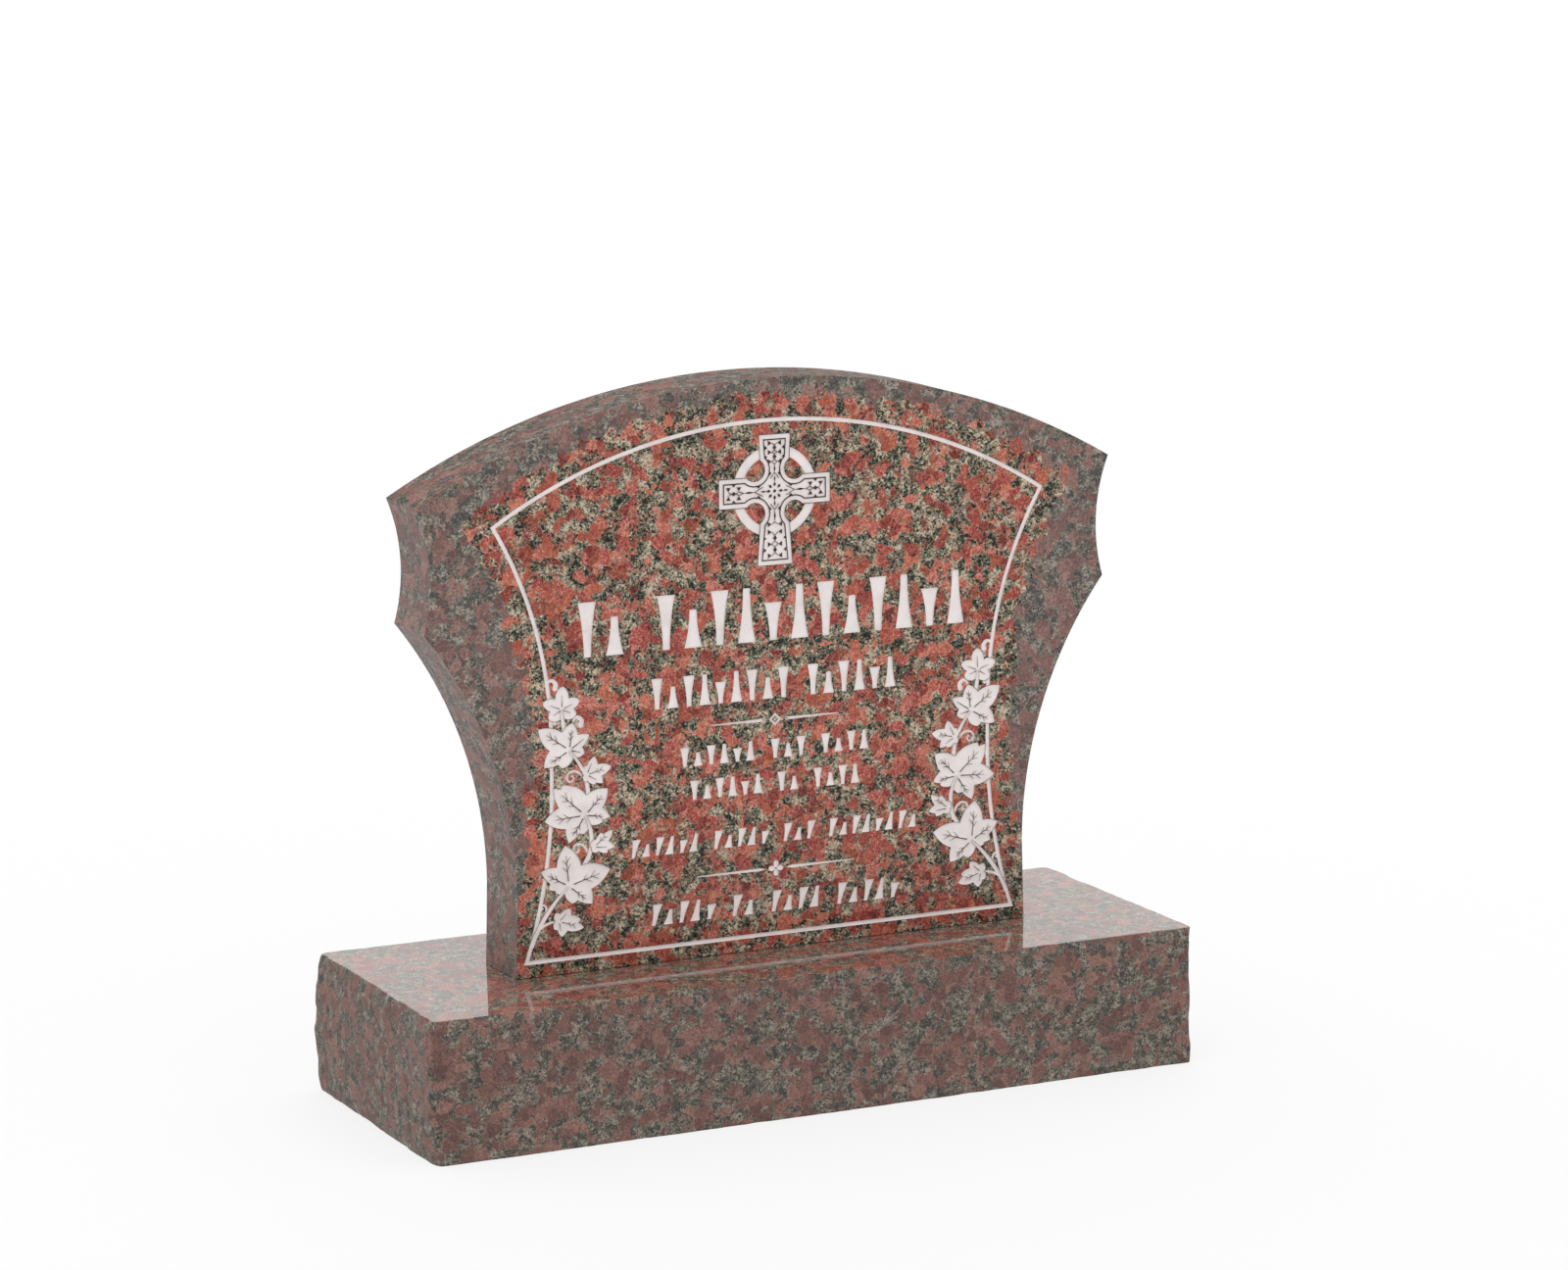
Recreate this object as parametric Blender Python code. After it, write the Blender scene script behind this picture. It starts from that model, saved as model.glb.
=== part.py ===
"""Granite headstone: an upright tablet with a carved face, standing on a rock-pitched base."""

import math

import bmesh
import bpy
from mathutils import Vector, noise

# Base, in metres like every size below
BASE_LENGTH = 0.914
BASE_DEPTH = 0.336
BASE_HEIGHT = 0.155
ROCK_FACET = 0.030  # spacing of the facets along the rock-pitched sides
ROCK_COURSES = 5  # facets from the bottom to the top of a side
ROCK_SWELL = 0.007  # how far a side stands out at mid height
ROCK_RELIEF = 0.006  # depth of the broken surface on top of that swell
ROCK_LUMP = 0.055  # size of one lump of the broken surface
ARRIS_WAVER = 0.0025  # how far the top and bottom edges wander
ARRIS_LUMP = 0.032  # size of one wave of that wandering
ARRIS_START = (9.0, 4.0, 2.0)  # where the wandering is read from the noise
CORNER_CHIP = 0.005  # stone lost at each upright corner

# Tablet outline: full widths, and heights above the tablet's own foot
TABLET_THICKNESS = 0.086
FOOT_WIDTH = 0.622
WAIST_WIDTH = 0.617
WAIST_HEIGHT = 0.090
CUSP_WIDTH = 0.821
CUSP_HEIGHT = 0.385
EAR_WIDTH = 0.834
EAR_HEIGHT = 0.521
CROWN_HEIGHT = 0.634
SCOOP_DEPTH = 0.0118  # how deep the scoop between ear and cusp is cut
SETTING_GAP = 0.0003  # joint between the base and the tablet

# Border line: distances of its centre line inside the tablet's outline
BORDER_LINE = 0.0048
BORDER_CROWN_MARGIN = 0.047
BORDER_EAR_MARGIN = 0.088
BORDER_EAR_DROP = 0.031
BORDER_WAIST_MARGIN = 0.0433
BORDER_FOOT_MARGIN = 0.0145
BORDER_FOOT_RISE = 0.0155
BORDER_WAIST_LOW = 0.210
BORDER_WAIST_HIGH = 0.255

# Depths of the carving: what runs under the leaves is a little shallower
MAIN_DEPTH = 0.0018
BORDER_DEPTH = 0.0016
STEM_DEPTH = 0.0014
SHOOT_DEPTH = 0.0012

# The stencil of the carving is drawn for a tablet of this height and grows with the tablet
STENCIL_HEIGHT = 0.634
STENCIL_SCALE = CROWN_HEIGHT / STENCIL_HEIGHT

# Ring cross
CROSS_CENTRE = 0.510
CROSS_ARM_REACH = 0.0668
CROSS_ARM_HALF = 0.0155
CROSS_TOP_REACH = 0.0620
CROSS_TOP_HALF = 0.0186
CROSS_FOOT_REACH = 0.0812
CROSS_FOOT_HALF = 0.0209
CROSS_SHAFT_HALF = 0.0172  # half-width of the shaft beside the armpits
ARMPIT_PLACE = 0.0240
ARMPIT_RADIUS = 0.0125
RING_OUTSIDE = 0.0492
RING_INSIDE = 0.0388
RING_CLEARANCE = 0.0008
CROSS_BAND = 0.0046  # width of the plain band round the cross
CROSS_FILLET = 0.0012  # raised line between the band and the knotwork
KNOT_START = 0.0365  # from the centre to where an arm is fully wide
KNOT_PITCH = 0.0100
KNOT_GAP = 0.0034
NECK_GAP = 0.0265  # place and half-length of the slit in each narrow neck
NECK_GAP_REACH = 0.0040

# Ivy, drawn for the left side: inward from the border's waist, height above the tablet's foot,
# and each lobe as (direction in degrees, length)
LEAVES = (
    (0.0127, 0.2906, ((91, 0.0260), (154, 0.0253), (212, 0.0155), (330, 0.0172), (24, 0.0205))),
    (0.0213, 0.2456, ((75, 0.0301), (142, 0.0425), (211, 0.0315), (275, 0.0170), (32, 0.0290))),
    (0.0413, 0.2169, ((69, 0.0204), (13, 0.0270), (324, 0.0177), (252, 0.0085), (130, 0.0085))),
    (0.0389, 0.1726, ((48, 0.0383), (135, 0.0488), (183, 0.0466), (231, 0.0338), (350, 0.0284))),
    (0.0489, 0.1364, ((88, 0.0135), (40, 0.0251), (355, 0.0205), (316, 0.0145), (200, 0.0060))),
    (0.0191, 0.0965, ((94, 0.0446), (150, 0.0362), (200, 0.0215), (322, 0.0344), (16, 0.0511))),
    (0.0048, 0.0588, ((42, 0.0188), (342, 0.0300), (285, 0.0183), (236, 0.0095), (122, 0.0095))),
)
LARGE_LEAF = 0.035  # a leaf whose longest lobe passes this has veins
LEAF_HOLLOW = 0.52  # depth of the hollow between two lobes, as a share of the shorter one
LEAF_FULLNESS = 0.62  # a lobe's sides are straight at 1 and fuller below it
LARGE_LEAF_STEPS = (0.25, 0.62)  # points between a lobe's tip and its hollow, as shares of the way
SMALL_LEAF_STEPS = (0.45,)
VEIN_WIDTH = 0.0016
VEIN_START = 0.16  # ends of a vein, as shares of its lobe's length
VEIN_REACH = 0.72

# Stems between the leaves: points from the foot upwards, placed like the leaves
STEMS = (
    ((-0.0350, 0.0160), (-0.0267, 0.0400), (-0.0113, 0.0641), (0.0039, 0.0813), (0.0170, 0.0920)),
    ((0.0370, 0.1180), (0.0441, 0.1310), (0.0461, 0.1472), (0.0440, 0.1600), (0.0390, 0.1700)),
    ((0.0425, 0.1960), (0.0395, 0.2135), (0.0335, 0.2281), (0.0240, 0.2430)),
    ((0.0150, 0.2680), (0.0131, 0.2813), (0.0127, 0.2890)),
)
STEM_WIDTH = 0.0046
STEM_TIP_WIDTH = 0.0036

# A leaf stalk and the tendrils: inward, height, heading in degrees, length, turn in degrees
SHOOTS = (
    (-0.0230, 0.0465, 52, 0.032, -60),
    (-0.0075, 0.3100, 90, 0.026, -220),
    (0.0225, 0.2730, 50, 0.020, -170),
    (0.0395, 0.2090, 118, 0.038, 240),
    (0.0435, 0.1275, 95, 0.027, 130),
    (-0.0085, 0.0675, 55, 0.016, 70),
)
SHOOT_WIDTH = 0.0034
SHOOT_TIP_WIDTH = 0.0018
SHOOT_CURL = 1.6  # how late a shoot does its turning; 1 is a plain arc

# Rows of chisel strokes: centre height, stroke height, row width, strokes in each group, lean
ROWS = (
    (0.3755, 0.0600, 0.4780, (2, 12), 0.0),
    (0.2980, 0.0340, 0.3020, (9, 6), 0.0),
    (0.2250, 0.0215, 0.2340, (6, 3, 4), 0.0),
    (0.1875, 0.0215, 0.2110, (6, 2, 4), 0.0),
    (0.1295, 0.0200, 0.3540, (6, 5, 3, 8), 0.22),
    (0.0535, 0.0235, 0.3080, (5, 2, 4, 5), 0.22),
)
GROUP_SPACE = 0.9  # space between two groups, in strokes
STROKE_FULLNESS = 0.64  # share of its room that a stroke's wide end fills
STROKE_TAPER = 0.4  # narrow end of a stroke, as a share of its wide end
SHORT_STROKE = 0.7  # height of every third stroke, as a share of its row's

# Rules between the rows
UPPER_RULE = 0.2575
UPPER_RULE_REACH = 0.0780
LOWER_RULE = 0.0905
LOWER_RULE_REACH = 0.0960
RULE_THICKNESS = 0.0020
RULE_START = 0.0110  # from the middle of a rule to its spikes
RULE_SHOULDER = 0.0170  # from the middle of a rule to where its spikes are thickest
DIAMOND_OUTSIDE = 0.0075  # half-sizes of the open diamond
DIAMOND_INSIDE = 0.0038
FLOWER_RADIUS = 0.0090
FLOWER_PETALS = 4
FLOWER_HOLLOW = 0.35  # radius between two petals, as a share of the whole

# Segments of the curved stretches
CROWN_SEGMENTS = 24
SCOOP_SEGMENTS = 8
FLANK_SEGMENTS = 12
BORDER_SEGMENTS = 18
RING_SEGMENTS = 6
ARMPIT_SEGMENTS = 8
PETAL_SEGMENTS = 6
STEM_SEGMENTS = 2
SHOOT_SEGMENTS = 6
WELD = 0.00001  # points closer than this are one point
FLAT_ANGLE = 0.001  # faces that turn less than this, in radians, are one flat face

FRONT = -TABLET_THICKNESS / 2
TABLET_FOOT = BASE_HEIGHT + SETTING_GAP


def clear_scene():
    for old in list(bpy.data.objects):
        bpy.data.objects.remove(old, do_unlink=True)


def new_collection(name):
    collection = bpy.data.collections.new(name)
    bpy.context.scene.collection.children.link(collection)
    return collection


def granite(name, colour, roughness):
    material = bpy.data.materials.new(name)
    material.use_nodes = True
    shader = material.node_tree.nodes["Principled BSDF"]
    shader.inputs["Base Color"].default_value = (*colour, 1.0)
    shader.inputs["Roughness"].default_value = roughness
    shader.inputs["Metallic"].default_value = 0.0
    return material


def arc_through(start, end, sagitta, segments):
    """Points from start to end on the arc that bows to the left of the chord by sagitta."""
    (x0, z0), (x1, z1) = start, end
    chord = math.hypot(x1 - x0, z1 - z0)
    radius = (chord * chord / 4 + sagitta * sagitta) / (2 * abs(sagitta))
    half_angle = 2 * math.atan(2 * abs(sagitta) / chord)
    side = math.copysign(1.0, sagitta)
    along = ((x1 - x0) / chord, (z1 - z0) / chord)
    left = (-along[1] * side, along[0] * side)
    points = []
    for step in range(segments + 1):
        angle = half_angle * (2 * step / segments - 1)
        forward = chord / 2 + radius * math.sin(angle)
        bow = radius * (math.cos(angle) - math.cos(half_angle))
        points.append((x0 + along[0] * forward + left[0] * bow, z0 + along[1] * forward + left[1] * bow))
    return points


def arc_leaving_upright(waist, end, segments):
    """Points from end to waist on the arc that stands upright where it reaches the waist."""
    (x0, z0), (x1, z1) = waist, end
    run, rise = abs(x1 - x0), abs(z1 - z0)
    radius = (run * run + rise * rise) / (2 * run)
    sweep = math.asin(rise / radius)
    outward, upward = math.copysign(1.0, x1 - x0), math.copysign(1.0, z1 - z0)
    points = []
    for step in range(segments + 1):
        angle = sweep * (1 - step / segments)
        points.append((x0 + outward * radius * (1 - math.cos(angle)), z0 + upward * radius * math.sin(angle)))
    return points


def mirrored(points):
    return [(-x, z) for x, z in reversed(points)]


def tablet_outline():
    """The right half from the foot to the crown, then the same mirrored."""
    foot, waist = (FOOT_WIDTH / 2, 0.0), (WAIST_WIDTH / 2, WAIST_HEIGHT)
    cusp, ear = (CUSP_WIDTH / 2, CUSP_HEIGHT), (EAR_WIDTH / 2, EAR_HEIGHT)
    flank = arc_leaving_upright(waist, cusp, FLANK_SEGMENTS)[::-1]
    scoop = arc_through(cusp, ear, SCOOP_DEPTH, SCOOP_SEGMENTS)
    crown = arc_through(ear, (-EAR_WIDTH / 2, EAR_HEIGHT), -(CROWN_HEIGHT - EAR_HEIGHT), CROWN_SEGMENTS)
    right = [foot] + flank + scoop[1:]
    return right + crown[1:-1] + mirrored(right)


def border_centre_line():
    top = CROWN_HEIGHT - BORDER_CROWN_MARGIN
    corner = (EAR_WIDTH / 2 - BORDER_EAR_MARGIN, EAR_HEIGHT - BORDER_EAR_DROP)
    waist = WAIST_WIDTH / 2 - BORDER_WAIST_MARGIN
    foot = (FOOT_WIDTH / 2 - BORDER_FOOT_MARGIN, BORDER_FOOT_RISE)
    upper = arc_leaving_upright((waist, BORDER_WAIST_HIGH), corner, BORDER_SEGMENTS // 2)[::-1]
    lower = arc_leaving_upright((waist, BORDER_WAIST_LOW), foot, BORDER_SEGMENTS // 2)
    crown = arc_through(corner, (-corner[0], corner[1]), -(top - corner[1]), BORDER_SEGMENTS)
    right = lower + upper
    return right + crown[1:-1] + mirrored(right)


def offset_loop(points, distance):
    """The closed loop moved to its right by distance, with mitred corners."""
    moved = []
    for before, here, after in zip(points[-1:] + points[:-1], points, points[1:] + points[:1]):
        incoming = Vector((here[0] - before[0], here[1] - before[1])).normalized()
        outgoing = Vector((after[0] - here[0], after[1] - here[1])).normalized()
        normal = Vector((incoming.y + outgoing.y, -incoming.x - outgoing.x))
        mitre = 2 * distance / normal.length_squared
        moved.append((here[0] + normal.x * mitre, here[1] + normal.y * mitre))
    return moved


def border_loops():
    centre_line = border_centre_line()
    return [offset_loop(centre_line, BORDER_LINE / 2), offset_loop(centre_line, -BORDER_LINE / 2)]


def stencil(points, centre_height=0.0):
    """Points drawn for the stencil's height, brought to the tablet's own height."""
    return [(x * STENCIL_SCALE, (z + centre_height) * STENCIL_SCALE) for x, z in points]


def cross_quadrant(inset, reach, end_half):
    """From the tip of the right arm round the armpit to the end of the shaft."""
    radius = ARMPIT_RADIUS + inset
    arm, shaft = CROSS_ARM_HALF - inset, CROSS_SHAFT_HALF - inset
    first = math.atan2(arm - ARMPIT_PLACE, math.sqrt(radius**2 - (ARMPIT_PLACE - arm) ** 2))
    last = math.atan2(math.sqrt(radius**2 - (ARMPIT_PLACE - shaft) ** 2), shaft - ARMPIT_PLACE) - 2 * math.pi
    points = [(CROSS_ARM_REACH - inset, arm)]
    for step in range(ARMPIT_SEGMENTS + 1):
        angle = first + (last - first) * step / ARMPIT_SEGMENTS
        points.append((ARMPIT_PLACE + radius * math.cos(angle), ARMPIT_PLACE + radius * math.sin(angle)))
    points.append((end_half - inset, reach - inset))
    return points


def cross_outline(inset):
    upper = cross_quadrant(inset, CROSS_TOP_REACH, CROSS_TOP_HALF)
    lower = cross_quadrant(inset, CROSS_FOOT_REACH, CROSS_FOOT_HALF)
    lower_right = [(x, -z) for x, z in reversed(lower)]
    return lower_right + upper + mirrored(upper) + mirrored(lower_right)


def ring_quarter(side, up):
    """The stretch of the ring in one quarter of the cross, clear of the arm and of the flared shaft."""
    reach, end_half = (CROSS_TOP_REACH, CROSS_TOP_HALF) if up > 0 else (CROSS_FOOT_REACH, CROSS_FOOT_HALF)
    flare = (end_half - CROSS_SHAFT_HALF) / (reach - ARMPIT_PLACE)
    points = []
    for radius, backwards in ((RING_OUTSIDE, False), (RING_INSIDE, True)):
        shaft = CROSS_SHAFT_HALF + flare * (radius - ARMPIT_PLACE) + RING_CLEARANCE
        first, last = math.asin((CROSS_ARM_HALF + RING_CLEARANCE) / radius), math.acos(shaft / radius)
        steps = range(RING_SEGMENTS + 1)
        for step in reversed(steps) if backwards else steps:
            angle = first + (last - first) * step / RING_SEGMENTS
            points.append((side * radius * math.cos(angle), up * radius * math.sin(angle)))
    return points


def diamond(x, z, half_width, half_height):
    return [(x + half_width, z), (x, z + half_height), (x - half_width, z), (x, z - half_height)]


def knot_gaps():
    """Raised spots between the strands of the plait, along each arm and round the centre knot."""
    half = KNOT_GAP / 2
    gaps = [diamond(0.0, 0.0, half, half)]
    gaps += [diamond(x, z, half, half) for x in (-KNOT_GAP, KNOT_GAP) for z in (-KNOT_GAP, KNOT_GAP)]
    arms = (
        (1, 0, CROSS_ARM_REACH, CROSS_ARM_HALF), (-1, 0, CROSS_ARM_REACH, CROSS_ARM_HALF),
        (0, 1, CROSS_TOP_REACH, CROSS_SHAFT_HALF), (0, -1, CROSS_FOOT_REACH, CROSS_SHAFT_HALF),
    )
    for across, up, reach, arm_half in arms:
        end = reach - CROSS_BAND - CROSS_FILLET - KNOT_GAP
        beside = arm_half - CROSS_BAND - CROSS_FILLET - KNOT_GAP
        slit = (NECK_GAP_REACH, half / 2) if across else (half / 2, NECK_GAP_REACH)
        gaps.append(diamond(across * NECK_GAP, up * NECK_GAP, *slit))
        place = KNOT_START
        while place < end:
            gaps.append(diamond(across * place, up * place, half, half))
            place += KNOT_PITCH / 2
            if place < end:
                gaps += [
                    diamond(across * place + up * side * beside, up * place + across * side * beside, half, half)
                    for side in (-1, 1)
                ]
            place += KNOT_PITCH / 2
    return gaps


def cross_loops():
    """The plain band round the cross, and the ring behind it."""
    loops = [cross_outline(0.0), cross_outline(CROSS_BAND)]
    loops += [ring_quarter(side, up) for side in (1, -1) for up in (1, -1)]
    return [stencil(loop, CROSS_CENTRE) for loop in loops]


def knot_panel_loops():
    return [stencil(cross_outline(CROSS_BAND + CROSS_FILLET), CROSS_CENTRE)]


def knot_gap_loops():
    return [stencil(loop, CROSS_CENTRE) for loop in knot_gaps()]


def is_large(lobes):
    return max(length for _, length in lobes) > LARGE_LEAF


def leaf_outline(x, z, lobes):
    """Ivy leaf: from each lobe's tip to the hollow beside it, the radius falls as a power of the way left."""
    lobes = sorted(lobes)
    shares = LARGE_LEAF_STEPS if is_large(lobes) else SMALL_LEAF_STEPS
    points = []
    for number, (angle, length) in enumerate(lobes):
        for step, toward in ((-1, lobes[number - 1]), (1, lobes[(number + 1) % len(lobes)])):
            gap = (toward[0] - angle) * step % 360 / 2
            hollow = LEAF_HOLLOW * min(length, toward[1])
            for share in (1.0, *shares[::-1]) if step < 0 else (0.0, *shares):
                radius = hollow + (length - hollow) * (1 - share) ** LEAF_FULLNESS
                heading = math.radians(angle + step * share * gap)
                points.append((x + radius * math.cos(heading), z + radius * math.sin(heading)))
    return points


def leaf_veins(x, z, lobes):
    veins = []
    for angle, length in lobes:
        heading = math.radians(angle)
        along, across = (math.cos(heading), math.sin(heading)), (-math.sin(heading), math.cos(heading))
        near, half = VEIN_START * length, VEIN_WIDTH / 2
        veins.append([
            (x + along[0] * near + across[0] * half, z + along[1] * near + across[1] * half),
            (x + along[0] * near - across[0] * half, z + along[1] * near - across[1] * half),
            (x + along[0] * length * VEIN_REACH, z + along[1] * length * VEIN_REACH),
        ])
    return veins


def smooth_path(points, steps):
    """Catmull-Rom curve through the points."""
    ends = [tuple(2 * a - b for a, b in zip(points[0], points[1]))]
    ends += list(points) + [tuple(2 * a - b for a, b in zip(points[-1], points[-2]))]
    path = []
    for p0, p1, p2, p3 in zip(ends, ends[1:], ends[2:], ends[3:]):
        for step in range(steps):
            t = step / steps
            path.append(tuple(
                0.5 * (2 * b + (c - a) * t + (2 * a - 5 * b + 4 * c - d) * t * t + (3 * b - a - 3 * c + d) * t**3)
                for a, b, c, d in zip(p0, p1, p2, p3)
            ))
    return path + [tuple(points[-1])]


def shoot_path(x, z, heading, length, turn):
    """A path whose heading turns more and more tightly towards its tip."""
    path, stride = [(x, z)], length / SHOOT_SEGMENTS
    for step in range(SHOOT_SEGMENTS):
        angle = math.radians(heading + turn * ((step + 0.5) / SHOOT_SEGMENTS) ** SHOOT_CURL)
        x, z = x + math.cos(angle) * stride, z + math.sin(angle) * stride
        path.append((x, z))
    return path


def ribbon(path, first_width, last_width):
    """Closed strip round an open path, tapering from the first width to the last."""
    left, right = [], []
    for number, (x, z) in enumerate(path):
        before, after = path[max(number - 1, 0)], path[min(number + 1, len(path) - 1)]
        along = Vector((after[0] - before[0], after[1] - before[1])).normalized()
        half = (first_width + (last_width - first_width) * number / (len(path) - 1)) / 2
        left.append((x - along.y * half, z + along.x * half))
        right.append((x + along.y * half, z - along.x * half))
    return left + right[::-1]


def both_sides(loops):
    """Vine loops, drawn inward from the border's waist, on the left side and mirrored on the right."""
    waist = WAIST_WIDTH / 2 - BORDER_WAIST_MARGIN
    left = [[(x - waist, z) for x, z in stencil(loop)] for loop in loops]
    return left + [mirrored(loop) for loop in left]


def leaf_loops():
    loops = []
    for x, z, lobes in LEAVES:
        loops.append(leaf_outline(x, z, lobes))
        if is_large(lobes):
            loops += leaf_veins(x, z, lobes)
    return both_sides(loops)


def stem_loops():
    return both_sides([ribbon(smooth_path(stem, STEM_SEGMENTS), STEM_WIDTH, STEM_TIP_WIDTH) for stem in STEMS])


def shoot_loops():
    return both_sides([ribbon(shoot_path(*shoot), SHOOT_WIDTH, SHOOT_TIP_WIDTH) for shoot in SHOOTS])


def wedge(x, z, width, height, lean, widest_up):
    """One chisel stroke: a leaning wedge, wide at one end and narrow at the other."""
    wide, narrow = width / 2, width * STROKE_TAPER / 2
    up, low = (wide, narrow) if widest_up else (narrow, wide)
    shift, half = lean * height / 2, height / 2
    return [
        (x - shift - low, z - half), (x - shift + low, z - half),
        (x + shift + up, z + half), (x + shift - up, z + half),
    ]


def stroke_loops():
    """Rows of wedges, turned over in turn; every third one is shorter and sits low."""
    loops = []
    for centre, height, width, groups, lean in ROWS:
        rooms = sum(groups) + GROUP_SPACE * (len(groups) - 1)
        room = width / rooms
        place = -width / 2 + room / 2
        for count in groups:
            for number in range(count):
                tall = height * SHORT_STROKE if number % 3 == 1 else height
                middle = centre - (height - tall) / 2
                loops.append(wedge(place, middle, room * STROKE_FULLNESS, tall, lean, number % 2 == 0))
                place += room
            place += room * GROUP_SPACE
    return [stencil(loop) for loop in loops]


def flower(height):
    """Closed loop whose radius swells once for each petal."""
    loop = []
    for step in range(FLOWER_PETALS * PETAL_SEGMENTS):
        angle = 2 * math.pi * step / (FLOWER_PETALS * PETAL_SEGMENTS)
        swell = abs(math.cos(FLOWER_PETALS * angle / 2))
        radius = FLOWER_RADIUS * (FLOWER_HOLLOW + (1 - FLOWER_HOLLOW) * swell)
        loop.append((radius * math.cos(angle), height + radius * math.sin(angle)))
    return loop


def rule_loops():
    """Each rule is a pair of thin spikes that point away from an open diamond or a flower."""
    loops = []
    for height, reach in ((UPPER_RULE, UPPER_RULE_REACH), (LOWER_RULE, LOWER_RULE_REACH)):
        thick = RULE_THICKNESS / 2
        for side in (1, -1):
            loops.append([
                (side * RULE_START, height), (side * RULE_SHOULDER, height + thick),
                (side * reach, height), (side * RULE_SHOULDER, height - thick),
            ])
    loops.append(diamond(0.0, UPPER_RULE, DIAMOND_OUTSIDE, DIAMOND_OUTSIDE))
    loops.append(diamond(0.0, UPPER_RULE, DIAMOND_INSIDE, DIAMOND_INSIDE))
    loops.append(flower(LOWER_RULE))
    return [stencil(loop) for loop in loops]


def flat_solid(name, loops, thickness, middle, collection):
    """Upright slab with the loops as its outline; a loop inside another is a hole in it."""
    curve = bpy.data.curves.new(name, "CURVE")
    curve.dimensions = "2D"
    curve.fill_mode = "BOTH"
    curve.extrude = thickness / 2
    for loop in loops:
        spline = curve.splines.new("POLY")
        spline.points.add(len(loop) - 1)
        for point, (x, z) in zip(spline.points, loop):
            point.co = (x, z, 0.0, 1.0)
        spline.use_cyclic_u = True
    drawing = bpy.data.objects.new(name + "_drawing", curve)
    drawing.rotation_euler = (math.pi / 2, 0.0, 0.0)
    drawing.location = (0.0, middle, TABLET_FOOT)
    collection.objects.link(drawing)
    bpy.context.view_layer.update()
    drawn = drawing.evaluated_get(bpy.context.evaluated_depsgraph_get())
    solid = bpy.data.objects.new(name, bpy.data.meshes.new_from_object(drawn))
    solid.matrix_world = drawing.matrix_world
    collection.objects.link(solid)
    bpy.data.objects.remove(drawing)
    edit = bmesh.new()
    edit.from_mesh(solid.data)
    bmesh.ops.remove_doubles(edit, verts=edit.verts, dist=WELD)
    bmesh.ops.recalc_face_normals(edit, faces=edit.faces)
    edit.to_mesh(solid.data)
    edit.free()
    return solid


def cut_away(target, name, loops, depth, cutters):
    """Sinks the loops into the tablet's front plane to the given depth, out of the target."""
    cutter = flat_solid(name, loops, 2 * depth, FRONT, cutters)
    cutter.display_type = "WIRE"
    cutter.hide_render = True
    cut = target.modifiers.new(name, "BOOLEAN")
    cut.operation = "DIFFERENCE"
    cut.object = cutter
    return cutter


def make_tablet(parts, cutters):
    tablet = flat_solid("tablet", [tablet_outline()], TABLET_THICKNESS, 0.0, parts)
    tablet.data.materials.append(granite("polished_red_granite", (0.30, 0.12, 0.09), 0.25))
    cut_away(tablet, "border_cutter", border_loops(), BORDER_DEPTH, cutters)
    cut_away(tablet, "stem_cutter", stem_loops(), STEM_DEPTH, cutters)
    cut_away(tablet, "shoot_cutter", shoot_loops(), SHOOT_DEPTH, cutters)
    main_loops = leaf_loops() + cross_loops() + stroke_loops() + rule_loops()
    cut_away(tablet, "main_cutter", main_loops, MAIN_DEPTH, cutters)
    knot = cut_away(tablet, "knot_cutter", knot_panel_loops(), MAIN_DEPTH, cutters)
    cut_away(knot, "knot_gap_cutter", knot_gap_loops(), 2 * MAIN_DEPTH, cutters)
    flat = tablet.modifiers.new("flat_faces", "DECIMATE")
    flat.decimate_type = "DISSOLVE"
    flat.angle_limit = FLAT_ANGLE
    return tablet


def rock_face(edit):
    """Pushes the side vertices out in a swell with broken lumps, and wanders the edges."""
    for vertex in edit.verts:
        x, y, z = vertex.co
        level = z / BASE_HEIGHT
        swell = 4 * level * (1 - level)
        lump = noise.noise(Vector((x, y, z)) / ROCK_LUMP)
        waver = noise.noise(Vector((x, y, z)) / ARRIS_LUMP + Vector(ARRIS_START))
        out = ROCK_SWELL * swell + ROCK_RELIEF * swell * lump + ARRIS_WAVER * waver
        on_end = abs(abs(x) - BASE_LENGTH / 2) < WELD
        on_side = abs(abs(y) - BASE_DEPTH / 2) < WELD
        if on_end and on_side:
            out -= CORNER_CHIP
        if on_end:
            vertex.co.x += math.copysign(out, x)
        if on_side:
            vertex.co.y += math.copysign(out, y)


def slice_evenly(edit, axis, length, middle, count):
    """Cuts the block across the axis into equal slices."""
    normal = Vector([1.0 if n == axis else 0.0 for n in range(3)])
    for step in range(1, count):
        place = normal * (middle - length / 2 + length * step / count)
        everything = edit.verts[:] + edit.edges[:] + edit.faces[:]
        bmesh.ops.bisect_plane(edit, geom=everything, plane_co=place, plane_no=normal)


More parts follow.
